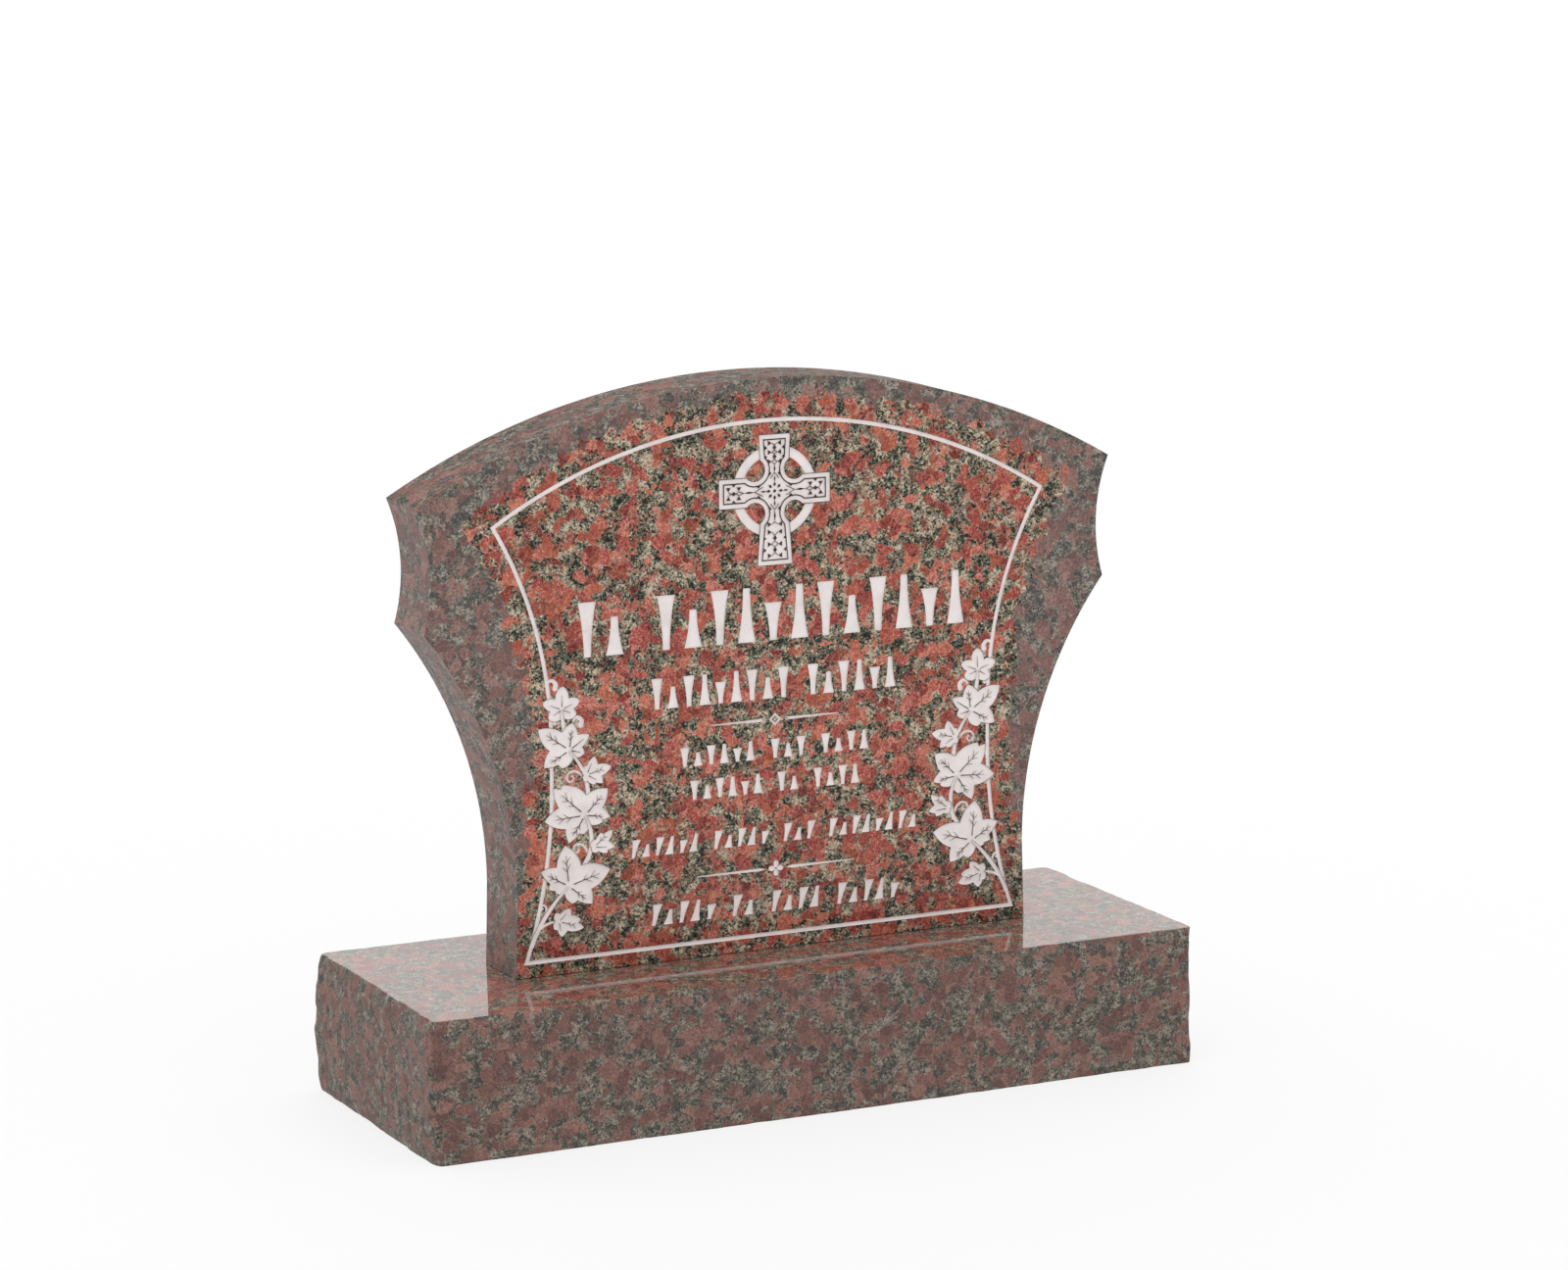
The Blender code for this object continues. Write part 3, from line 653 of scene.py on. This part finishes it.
def wedge(along, point, foot, half):
    # triangle that points to the arm's line
    return np.array([(along, point), (along + half, foot), (along - half, foot)])


def drawPlait(look, direction, slit, pairs, singles, off, half, middle):
    # diamonds on the arm's line, wedges beside it, seams between them and notches in the edge
    gap, seam, neck = look["gap"], look["seam"], look["neck"]
    singleLong, singleWide = look["single"]
    inward, outward = look["pair"]
    notchDepth, overlap, notchHalf = look["notch"]
    back, aside = look["neckSeam"]
    loops = [diamond(sum(slit) / 2, 0, (slit[1] - slit[0]) / 2, look["slitHalf"])]
    loops += [diamond(along, 0, gap * singleLong, gap * singleWide) for along in singles]
    for side in (1, -1):
        for along in pairs:
            loops.append(wedge(along, off - gap * inward, off + gap * outward, gap) * (1, side))
        for along in singles:
            loops.append(wedge(along, half - notchDepth, half + overlap, notchHalf) * (1, side))
            for pair in sorted(pairs, key=lambda place: abs(place - along))[:2]:
                path = np.array([(along + np.sign(pair - along) * gap, 0), (pair, (off - gap) * side)])
                loops.append(ribbon(path, seam))
        loops.append(ribbon(np.array([(slit[0], 0), (neck - back, aside * side)]), seam))
        loops.append(wedge(neck, *look["neckGap"]) * (1, side))
        loops.append(ribbon(np.array([(slit[1], 0), (min(pairs), (off - gap) * side)]), seam))
    for loop in loops:
        area = np.cross(loop, np.roll(loop, -1, 0)).sum()
        leave(turned(loop if area > 0 else loop[::-1], direction) + middle, dark)


def drawCross(look):
    middle = np.array([look["aside"], look["centre"]])
    outside, inside = look["ring"]
    engrave(disc(*middle, outside, 96))
    leave(disc(*middle, inside, 80))
    leave(crossOutline(look, -look["halo"]) + middle, dark)
    engrave(crossOutline(look, 0.0) + middle)
    leave(crossOutline(look, look["band"]) + middle, dark)
    engrave(crossOutline(look, look["band"] + look["line"]) + middle)
    for plait in look["plaits"]:
        drawPlait(look, *plait, middle)
    gapLong, gapWide = look["heartGap"]
    heartGap = diamond(look["heart"], 0, look["gap"] * gapLong, look["gap"] * gapWide)
    for number in range(8):
        leave(turned(heartGap, number * 45) + middle, dark)
    place, tipLong, tipWide = look["heartTip"]
    for direction in (0, 90, 180, 270):
        leave(turned(diamond(place, 0, tipLong, tipWide), direction) + middle, dark)
    leave(diamond(0, 0, look["eye"], look["eye"]) + middle, dark)


# Ivy: drawn for the left side, inward from the border's waist, and mirrored

ivy = {
    # place, direction and length of each lobe and of each lesser corner, roundness
    "leaves": [
        ((12.7, 290.6), ((88, 25.2), (158, 23.8), (210, 18.0), (338, 18.0), (23, 22.6)), (), 1.4),
        ((21.3, 245.6), ((83, 29.9), (145, 44.6), (209, 34.4), (345, 18.0), (33, 27.7)),
         ((245, 21.0),), 1.0),
        ((41.3, 216.9), ((65, 21.6), (13, 29.8), (330, 21.6)), ((308, 14.5), (250, 8.0), (110, 10.0)), 1.1),
        ((38.9, 172.6), ((45, 38.3), (138, 49.6), (183, 47.9), (236, 35.0), (351, 29.8)),
         ((127, 44.5), (264, 20.5), (333, 22.0)), 0.95),
        ((48.9, 136.4), ((38, 28.1), (356, 24.6)), ((62, 17.7), (334, 17.7), (300, 7.0), (85, 8.5)), 1.1),
        ((19.1, 96.5), ((95, 45.6), (150, 38.0), (321, 35.2), (16, 51.1)),
         ((184, 23.7), (200, 16.5), (282, 20.0)), 0.95),
        ((7.3, 58.8), ((43, 19.1), (342, 30.6), (280, 17.4)), ((1, 25.0), (235, 10.0), (112, 10.6)), 1.1),
    ],
    "hollow": 46.0,  # degrees: the larger, the shallower the hollows
    "line": 0.4,
    "vein": 1.25,
    "veinLobe": 12.0,  # a lobe longer than this has a vein
    "veinStart": 0.12,  # as a share of the lobe
    "largeLobe": 35.0,  # a leaf with a longer one is large
    "veinShares": (0.62, 0.5),  # of the lobe, in a large leaf and in a small one
    "smallVein": 0.7,
    "sideLobe": 28.0,  # and a lobe longer than this has side veins
    "sideVeins": ((0.34, 1), (0.40, -1), (0.52, 1), (0.57, -1)),  # share of the lobe, side
    "sideTurn": 38.0,
    "sideShares": (0.17, 0.65),  # of the lobe and of the vein's width
    "stems": [
        ((-25.6, 34.0), (-20.5, 45.5), (-10.3, 63.1), (3.9, 81.3), (19.1, 96.5)),
        ((24.0, 101.0), (37.0, 118.0), (44.1, 131.0), (46.1, 147.2), (44.0, 160.0), (38.9, 172.6)),
        ((38.9, 176.0), (42.5, 196.0), (39.5, 213.5), (33.5, 228.1), (21.3, 245.6)),
        ((17.0, 255.0), (15.0, 268.0), (13.1, 281.3), (12.7, 290.6)),
    ],
    "stemWidths": (5.4, 4.4),
    "stemTip": (12, 1.05, 0.5),  # points that run over the leaf, and their widths in stems
    "stalks": [
        ((-24.0, 40.0), (-18.5, 49.5), (-11.0, 55.6), (-2.0, 58.6), (4.8, 58.8)),
        ((42.5, 123.0), (44.5, 129.0), (48.9, 136.4)),
        ((41.4, 203.0), (40.5, 210.0), (41.3, 216.9)),
    ],
    "stalkWidths": (3.6, 2.2),
    "tendrils": [  # start, heading and turn in degrees, length, curl
        ((41.5, 205.0), 112, 400, 52.0, 2.0),
        ((43.0, 124.0), 100, 340, 42.0, 2.0),
        ((-11.0, 62.0), 66, 300, 26.0, 2.6),
    ],
    "tendrilWidths": (3.2, 2.0),
    "tendrilStride": (1.3, 0.6),  # of the mean step: the first, and how much shorter the last is
    "tendrilKnob": 0.8,
    "curls": [  # young leaves, still rolled up
        ((-5.0, 316.0), (-3.0, 321.5), (1.5, 323.0), (5.5, 319.0), (5.0, 314.5)),
        ((25.0, 270.0), (26.5, 278.5), (31.0, 281.0), (35.5, 277.0), (34.5, 272.0)),
    ],
    "curlWidths": (1.6, 6.4),
    "buds": [((4.0, 276.5), 2.4), ((2.5, 196.0), 2.6)],
}


def leafLoop(look, corners, roundness, steps=9):
    # hollow = mean of its two corners / (1 + half their angle / measure), at most the shorter one;
    # from a corner to the hollow the radius falls as 1 - share^roundness
    angle, length = np.array(sorted(corners), float).T
    gap = (np.roll(angle, -1) - angle) % 360 / 2
    after = np.roll(length, -1)
    hollow = np.minimum((length + after) / 2 / (1 + gap / look["hollow"]), np.minimum(length, after))
    share = np.linspace(0, 1, steps, endpoint=False)
    out = hollow[:, None] + (length - hollow)[:, None] * (1 - share ** roundness)
    before = np.roll(hollow, 1)
    back = before[:, None] + (length - before)[:, None] * (1 - (1 - share) ** roundness)
    outAngle = angle[:, None] + share * gap[:, None]
    backAngle = angle[:, None] - (1 - share) * np.roll(gap, 1)[:, None]
    radius = np.concatenate([back, out], 1).ravel()
    heading = np.radians(np.concatenate([backAngle, outAngle], 1).ravel())
    return polar(radius, heading)


def spike(start, heading, length, width, taper=0.25):
    # thin wedge from start along the heading; the taper is its far width as a share of the near one
    along = np.array([math.cos(heading), math.sin(heading)])
    across = np.array([-along[1], along[0]]) * width / 2
    end = start + along * length
    return np.array([start + across, start - across, end - across * taper, end + across * taper])


def leafVeins(look, centre, lobes):
    large = max(length for _, length in lobes) > look["largeLobe"]
    width = look["vein"] if large else look["vein"] * look["smallVein"]
    veinShare = look["veinShares"][0 if large else 1]
    sideLength, sideWidth = look["sideShares"]
    centre = np.array(centre)
    veins = []
    for angle, length in lobes:
        heading = math.radians(angle)
        along = np.array([math.cos(heading), math.sin(heading)])
        if length > look["veinLobe"]:
            start = centre + along * length * look["veinStart"]
            veins.append(spike(start, heading, length * veinShare, width))
        if length > look["sideLobe"]:
            for share, side in look["sideVeins"]:
                branch = heading + side * math.radians(look["sideTurn"])
                start = centre + along * length * share
                veins.append(spike(start, branch, length * sideLength, width * sideWidth))
    return veins


def tendril(look, start, heading, turn, length, curl, steps=26):
    # heading = first heading + turn * share^curl; the path is the running sum of its steps
    share = (np.arange(steps) + 0.5) / steps
    way = np.radians(heading + turn * share ** curl)
    longest, fall = look["tendrilStride"]
    path = np.cumsum(polar(length / steps * (longest - fall * share), way), 0)
    return np.concatenate([[start], np.array(start) + path])


def drawIvy(look, waist):
    strokes = []

    def lay(loop, kind, halo=0.0):
        if halo:
            strokes.append((grown(loop, halo), dark))
        strokes.append((loop, kind))

    for shape in look["tendrils"]:
        path = tendril(look, *shape)
        lay(ribbon(path, *look["tendrilWidths"]), painted)
        lay(disc(*path[-1], look["tendrilWidths"][1] * look["tendrilKnob"], 10), painted)
    for curl in look["curls"]:
        path = smooth(curl, 6)
        lay(ribbon(path, *look["curlWidths"]), painted)
        lay(disc(*path[-1], look["curlWidths"][1] / 2, 12), painted)
    for place, radius in look["buds"]:
        lay(disc(*place, radius, 12), painted)
    for stem in look["stems"]:
        path = smooth(stem, 8)
        lay(ribbon(path, *[width + 2 * look["line"] for width in look["stemWidths"]]), dark)
        lay(ribbon(path, *look["stemWidths"]), painted)
    for stalk in look["stalks"]:
        lay(ribbon(smooth(stalk, 8), *look["stalkWidths"]), painted)
    for centre, lobes, corners, roundness in look["leaves"]:
        lay(leafLoop(look, lobes + corners, roundness) + centre, painted, look["line"])
    for centre, lobes, _, _ in look["leaves"]:
        for vein in leafVeins(look, centre, lobes):
            lay(vein, dark)
    tipPoints, *tipShares = look["stemTip"]
    tipWidths = [look["stemWidths"][1] * share for share in tipShares]
    for stem in look["stems"]:
        path = smooth(stem, 8)[-tipPoints:]
        lay(ribbon(path, *[width + look["line"] for width in tipWidths]), dark)
        lay(ribbon(path, *tipWidths), painted)
    for loop, kind in strokes:
        loop = loop - (waist, 0.0)
        leave(leant(loop), kind)
        leave(leant(flipped(loop)), kind)


# Rows of chisel strokes and the rules between them

lettering = {
    "rows": [  # centre height, stroke height, width, strokes in each group, lean, share filled
        (375.5, 60.0, 478.0, (2, 12), 0.0, 0.66),
        (298.0, 34.0, 302.0, (9, 6), 0.0, 0.72),
        (225.0, 21.5, 234.0, (6, 3, 4), 0.0, 0.72),
        (187.5, 21.5, 211.0, (6, 2, 4), 0.0, 0.72),
        (129.5, 20.0, 354.0, (6, 5, 3, 8), 0.22, 0.72),
        (53.5, 23.5, 308.0, (5, 2, 4, 5), 0.22, 0.70),
    ],
    "groupSpace": 0.9,  # room between two groups, in strokes
    "taper": 0.4,  # the narrow end as a share of the wide one
    "short": 0.7,  # height of every third stroke
}


def chiselStroke(across, up, width, height, lean, widestUp):
    # half-width goes from narrow to wide as the square of the share of the height
    share = np.linspace(0, 1, 9)
    half = width / 2 * (lettering["taper"] + (1 - lettering["taper"]) * share ** 2)
    half = half if widestUp else half[::-1]
    z = (share - 0.5) * height
    left, right = np.stack([-half + lean * z, z], 1), np.stack([half + lean * z, z], 1)
    return np.concatenate([right, left[::-1]]) + (across, up)


def drawRows(look):
    for centre, height, width, groups, lean, fullness in look["rows"]:
        room = width / (sum(groups) + look["groupSpace"] * (len(groups) - 1))
        place = -width / 2 + room / 2
        for count in groups:
            for number in range(count):
                tall = height * look["short"] if number % 3 == 1 else height
                middle = centre - (height - tall) / 2
                engrave(chiselStroke(place, middle, room * fullness, tall, lean, number % 2 == 0))
                place += room
            place += room * look["groupSpace"]


rules = {
    "upper": (257.5, 78.0),  # height, reach
    "lower": (90.5, 96.0),
    "start": 11.0,
    "shoulder": 19.0,
    "thickness": 3.4,
    "profile": (0.0, -0.5, -0.18, 0.18, 0.5),  # at start, shoulder, end, end and shoulder
    "diamonds": (7.5, 4.0, 1.8),
    "dots": (2.25, 0.9),
    "dotPlace": 3.2,  # beyond the start
    "petal": 9.0,
    "petalHollow": 0.25,
    "petalFullness": 0.8,
    "pistil": 1.1,
}


def drawRules(look):
    for height, reach in (look["upper"], look["lower"]):
        for side in (1, -1):
            x = np.array([look["start"], look["shoulder"], reach, reach, look["shoulder"]]) * side
            loop = np.stack([x, np.array(look["profile"]) * look["thickness"] + height], 1)
            engrave(loop if side > 0 else loop[::-1])
            if height == look["upper"][0]:
                place, (large, small) = side * (look["start"] + look["dotPlace"]), look["dots"]
                engrave(disc(place, height, large, 12))
                leave(disc(place, height, small, 10))
    for size, draw in zip(look["diamonds"], (engrave, leave, engrave)):
        draw(disc(0.0, look["upper"][0], size, 4))
    # flower: radius = petal * (hollow + (1 - hollow) * |cos of twice the turn|^fullness)
    turn = np.arange(64) * 2 * math.pi / 64
    swing = np.abs(np.cos(2 * turn)) ** look["petalFullness"]
    radius = look["petal"] * (look["petalHollow"] + (1 - look["petalHollow"]) * swing)
    engrave(polar(radius, turn) + (0.0, look["lower"][0]))
    leave(disc(0.0, look["lower"][0], look["pistil"], 8))


outline = tabletOutline(tablet)
drawBorder(border)
drawRows(lettering)
drawRules(rules)
drawCross(cross)
drawIvy(ivy, border["waist"])
print("carving drawn:", len(shapes), "shapes")


# The tablet: the face is cut along every shape, and what is engraved sinks by the carving's depth

def covered(loop, points):
    # winding number: signed crossings of the loop's edges to the right of each point
    low, high = loop.min(0), loop.max(0)
    near = np.nonzero(((points > low) & (points < high)).all(1))[0]
    if not len(near):
        return near
    ax, az = loop.T
    bx, bz = np.roll(loop, -1, 0).T
    px, pz = points[near, :1], points[near, 1:]
    left = (bx - ax) * (pz - az) - (px - ax) * (bz - az)
    up = (az <= pz) & (bz > pz) & (left > 0)
    down = (az > pz) & (bz <= pz) & (left < 0)
    return near[(up.sum(1) - down.sum(1)) != 0]


def faceMesh(outline, shapes):
    # constrained Delaunay triangles of all the loops together, and what kind each one is
    loops = [outline] + [loop for loop, _ in shapes]
    starts = np.cumsum([0] + [len(loop) for loop in loops])
    edges = []
    for start, loop in zip(starts, loops):
        here = np.arange(len(loop))
        edges += np.stack([here + start, (here + 1) % len(loop) + start], 1).tolist()
    points = [Vector(p) for p in np.concatenate(loops).tolist()]
    verts, _, faces, sources, _, _ = delaunay_2d_cdt(points, edges, [], 0, 0.0005, True)
    verts, faces = np.array([tuple(v) for v in verts]), np.array(faces)
    # the outline's points find their new numbers through the sources
    origins = np.concatenate(sources).astype(int)
    owners = np.repeat(np.arange(len(sources)), [len(source) for source in sources])
    onRing = origins < len(outline)
    ring = np.zeros(len(outline), int)
    ring[origins[onRing]] = owners[onRing]
    middle = verts[faces].mean(1)
    kept = covered(outline, middle)
    faces, middle = faces[kept], middle[kept]
    kinds = np.zeros(len(faces), int)
    for loop, kind in shapes:
        kinds[covered(loop, middle)] = kind
    a, b, c = (verts[faces[:, n]] for n in range(3))
    backwards = np.cross(b - a, c - a) < 0
    faces[backwards] = faces[backwards][:, ::-1]
    return verts, faces, kinds, ring


def stepWalls(faces, sunk, count):
    # an upright quad on each edge between a sunk triangle and one that isn't
    sides = np.concatenate([faces[:, [0, 1]], faces[:, [1, 2]], faces[:, [2, 0]]])
    owner = np.tile(np.arange(len(faces)), 3)
    key = np.sort(sides, 1) @ np.array([count, 1])
    order = np.argsort(key, kind="stable")
    same = np.nonzero(key[order][1:] == key[order][:-1])[0]
    one, two = order[same], order[same + 1]
    step = sunk[owner[one]] != sunk[owner[two]]
    rim = np.where(sunk[owner[one[step]]], one[step], two[step])  # the sunk side's own edge
    near, far = sides[rim].T
    return np.stack([far, near, near + count, far + count], 1)


def makeObject(name, points, polygons, materials, slots, smoothed=0):
    # the first polygons, up to smoothed, are shaded smooth
    mesh = bpy.data.meshes.new(name)
    mesh.from_pydata(points.tolist(), [], polygons)
    for material in materials:
        mesh.materials.append(material)
    mesh.polygons.foreach_set("material_index", slots.astype(np.int32))
    mesh.polygons.foreach_set("use_smooth", np.arange(len(polygons)) < smoothed)
    mesh.update()
    made = bpy.data.objects.new(name, mesh)
    bpy.context.scene.collection.objects.link(made)
    return made


def makeTablet(look, outline, shapes, materials):
    front, back, arris = tabletLow.y * mm, tabletHigh.y * mm, look["arris"]
    verts, faces, kinds, firstRing = faceMesh(grown(outline, -arris), shapes)
    sunk = kinds == painted
    count, size = len(verts), len(outline)
    face = np.stack([verts[:, 0], np.full(count, front), verts[:, 1]], 1)
    floor = face + (0.0, look["carvingDepth"], 0.0)
    walls = stepWalls(faces, sunk, count)
    rings = []
    for y, inset in ((front + arris, 0.0), (back - arris, 0.0), (back, arris)):
        loop = grown(outline, -inset)
        rings.append(np.stack([loop[:, 0], np.full(size, y), loop[:, 1]], 1))
    ringIds = 2 * count + np.arange(len(rings))[:, None] * size + np.arange(size)
    ringIds = np.concatenate([firstRing[None], ringIds])
    after = np.roll(ringIds, -1, 1)
    skirt = np.stack([ringIds[:-1], ringIds[1:], after[1:], after[:-1]], 2).reshape(-1, 4)
    polygons = np.where(sunk[:, None], faces + count, faces).tolist() + walls.tolist() + skirt.tolist()
    polygons.append(ringIds[-1][::-1].tolist())
    # slots: the face's kinds, painted walls, then side stone, or crown stone above the ears, a copy
    # darkened with painted shade
    crown = (outline[:, 1] + np.roll(outline[:, 1], -1)) / 2 > look["earHeight"]
    slots = np.concatenate([kinds, np.full(len(walls), painted), np.tile(3 + crown, len(rings)), [3]])
    points = np.concatenate([face, floor, *rings]) / mm
    points[:, 2] += tabletLow.z
    used = np.unique(np.concatenate([np.ravel(polygon) for polygon in polygons]))
    renumber = np.zeros(len(points), int)
    renumber[used] = np.arange(len(used))
    polygons = [renumber[polygon].tolist() for polygon in polygons]
    return makeObject("carvedTablet", points[used], polygons, materials, slots)


circles = borderCircles(border, tabletLow.z * mm)
stones = [faceGranite("faceGranite", *circles), carvedPaint("whitePaint")]
stones += [steeledGranite(name) for name in ("darkLine", "steeledGranite", "crownPaintedShadeGranite")]
carvedTablet = makeTablet(tablet, outline, shapes, stones)
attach(carvedTablet, "root")
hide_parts("tablet")
print("tablet made:", len(carvedTablet.data.polygons), "faces")


# The base: a wall carried round a rectangle, swollen and broken, with a polished top

base = {
    "length": 914.0,
    "depth": 336.0,
    "spacing": 3.0,
    "rows": 52,
    "swell": ((6.5, 4.0), (0.5, 5.0)),  # outwards: left and front, then right and back
    "lumps": [(80.0, 2.6), (30.0, 1.3), (13.0, 0.8), (6.0, 0.4)],  # size and depth, in millimetres
    "edge": [(45.0, 1.5), (17.0, 0.8), (8.0, 0.6)],
    "lumpPlace": 500.0,  # where in the noise they are read
    "edgePlace": 900.0,
    "lumpSeed": 11,
    "edgeSeed": 18,
    "fullness": 0.6,  # power of the swell's profile: the lower, the squarer
    "foot": ((2.0, 5.0), (-4.0, 3.0)),  # how far the lowest course stands out there
    "footFade": 4,  # power by which that ends upwards
    "corner": 7.5,
    "chip": 2.4,
    "arris": 1.4,
    "arrisRings": ((0.3, 0.3), (1.0, 0.0)),  # inwards and under the top, in arrises
    "clearance": 0.05,  # inside the box of the solid
}


def latticeNoise(points, size, seed):
    # random values from -1 to 1 on a lattice, blended over each cube with smoothstep weights
    table = np.random.default_rng(seed).uniform(-1, 1, (64, 64, 64))
    p = points / size
    low = np.floor(p).astype(int)
    share = p - low
    share = share * share * (3 - 2 * share)
    total = np.zeros(len(points))
    for corner in np.ndindex(2, 2, 2):
        weight = np.prod(np.where(corner, share, 1 - share), axis=1)
        x, y, z = ((low + corner) % 64).T
        total += weight * table[x, y, z]
    return total


def layeredNoise(points, layers, seed):
    # each layer's noise times its depth, added up
    return sum(latticeNoise(points, size, seed + n) * depth for n, (size, depth) in enumerate(layers))


def makeBase(look, materials):
    height = (baseHigh.z - baseLow.z) * mm
    half = np.array([look["length"], look["depth"]]) / 2
    across = np.linspace(-1, 1, int(look["length"] / look["spacing"]) + 1)[:-1]
    deep = np.linspace(-1, 1, int(look["depth"] / look["spacing"]) + 1)[:-1]
    front = np.stack([across, np.full(len(across), -1.0)], 1)
    right = np.stack([np.full(len(deep), 1.0), deep], 1)
    rim = np.concatenate([front, right, -front, -right]) * half
    level = np.linspace(0, 1, look["rows"])
    flat = np.repeat(rim[None], len(level), 0)
    share = np.repeat(level[:, None, None], len(rim), 1)  # of the height
    spots = np.concatenate([flat, share * height], -1).reshape(-1, 3)
    lump = layeredNoise(spots + look["lumpPlace"], look["lumps"], look["lumpSeed"]).reshape(share.shape)
    waver = layeredNoise(spots + look["edgePlace"], look["edge"], look["edgeSeed"]).reshape(share.shape)
    # out by (swell + lumps) * (4 share (1 - share))^fullness + wavering + foot * (1 - share)^fade
    bulge = (4 * share * (1 - share)) ** look["fullness"]
    swell, foot = (np.where(flat < 0, *np.array(look[name])) for name in ("swell", "foot"))
    out = (swell + lump) * bulge + waver + foot * (1 - share) ** look["footFade"]
    toCorner = np.clip(1 - (half - np.abs(flat)) / look["corner"], 0, 1) ** 2  # 1 at the end planes
    corner = toCorner.min(-1, keepdims=True)
    move = np.sign(flat) * toCorner * (out - look["chip"] * corner)
    limit = np.array([baseHigh.x, baseHigh.y]) * mm - look["clearance"]
    wall = np.clip(flat + move, -limit, limit)
    points = np.concatenate([wall, share * height], -1)
    # the wall's top sinks by the arris, and two rings lead from it to the top
    inset = np.sign(flat[-1]) * (np.abs(np.sign(toCorner[-1])) * look["arris"])
    points[-1, :, 2] -= look["arris"]
    points[-2, :, 2] -= look["arris"] / 2
    rings = []
    for inward, under in look["arrisRings"]:
        ring = points[-1].copy()
        ring[:, :2] -= inset * inward
        ring[:, 2] = height - under * look["arris"]
        rings.append(ring)
    points = np.concatenate([points, rings])
    rows, count = points.shape[:2]
    ids = np.arange(rows * count).reshape(rows, count)
    after = np.roll(ids, -1, 1)
    quads = np.stack([ids[:-1], after[:-1], after[1:], ids[1:]], -1).reshape(-1, 4).tolist()
    polygons = quads + [ids[-1].tolist(), ids[0][::-1].tolist()]
    slots = np.zeros(len(polygons), int)
    slots[(rows - 2) * count:-1] = 1  # the last ring and the top are polished, the underside isn't
    smoothed = (rows - 3) * count
    return makeObject("pitchedBase", points.reshape(-1, 3) / mm, polygons, materials, slots, smoothed)


pitchedBase = makeBase(base, [steeledGranite("pitchedGranite"), polishedGranite("polishedGranite")])
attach(pitchedBase, "root")
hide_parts("base")
print("base made:", len(pitchedBase.data.polygons), "faces")


def makeFloor(look):
    side = look["floorSize"] / 2
    corners = np.array([(-side, -side, 0), (side, -side, 0), (side, side, 0), (-side, side, 0)])
    material = Paint("paleFloor").surface({
        "Base Color": look["floorColour"],
        "Roughness": look["floorRoughness"],
        "IOR": look["floorIor"],
        "Emission Color": (1.0, 1.0, 1.0, 1.0),
        "Emission Strength": look["floorGlow"],
    })
    floor = makeObject("floor", corners, [(0, 1, 2, 3)], [material], np.zeros(1))


makeFloor(studio)
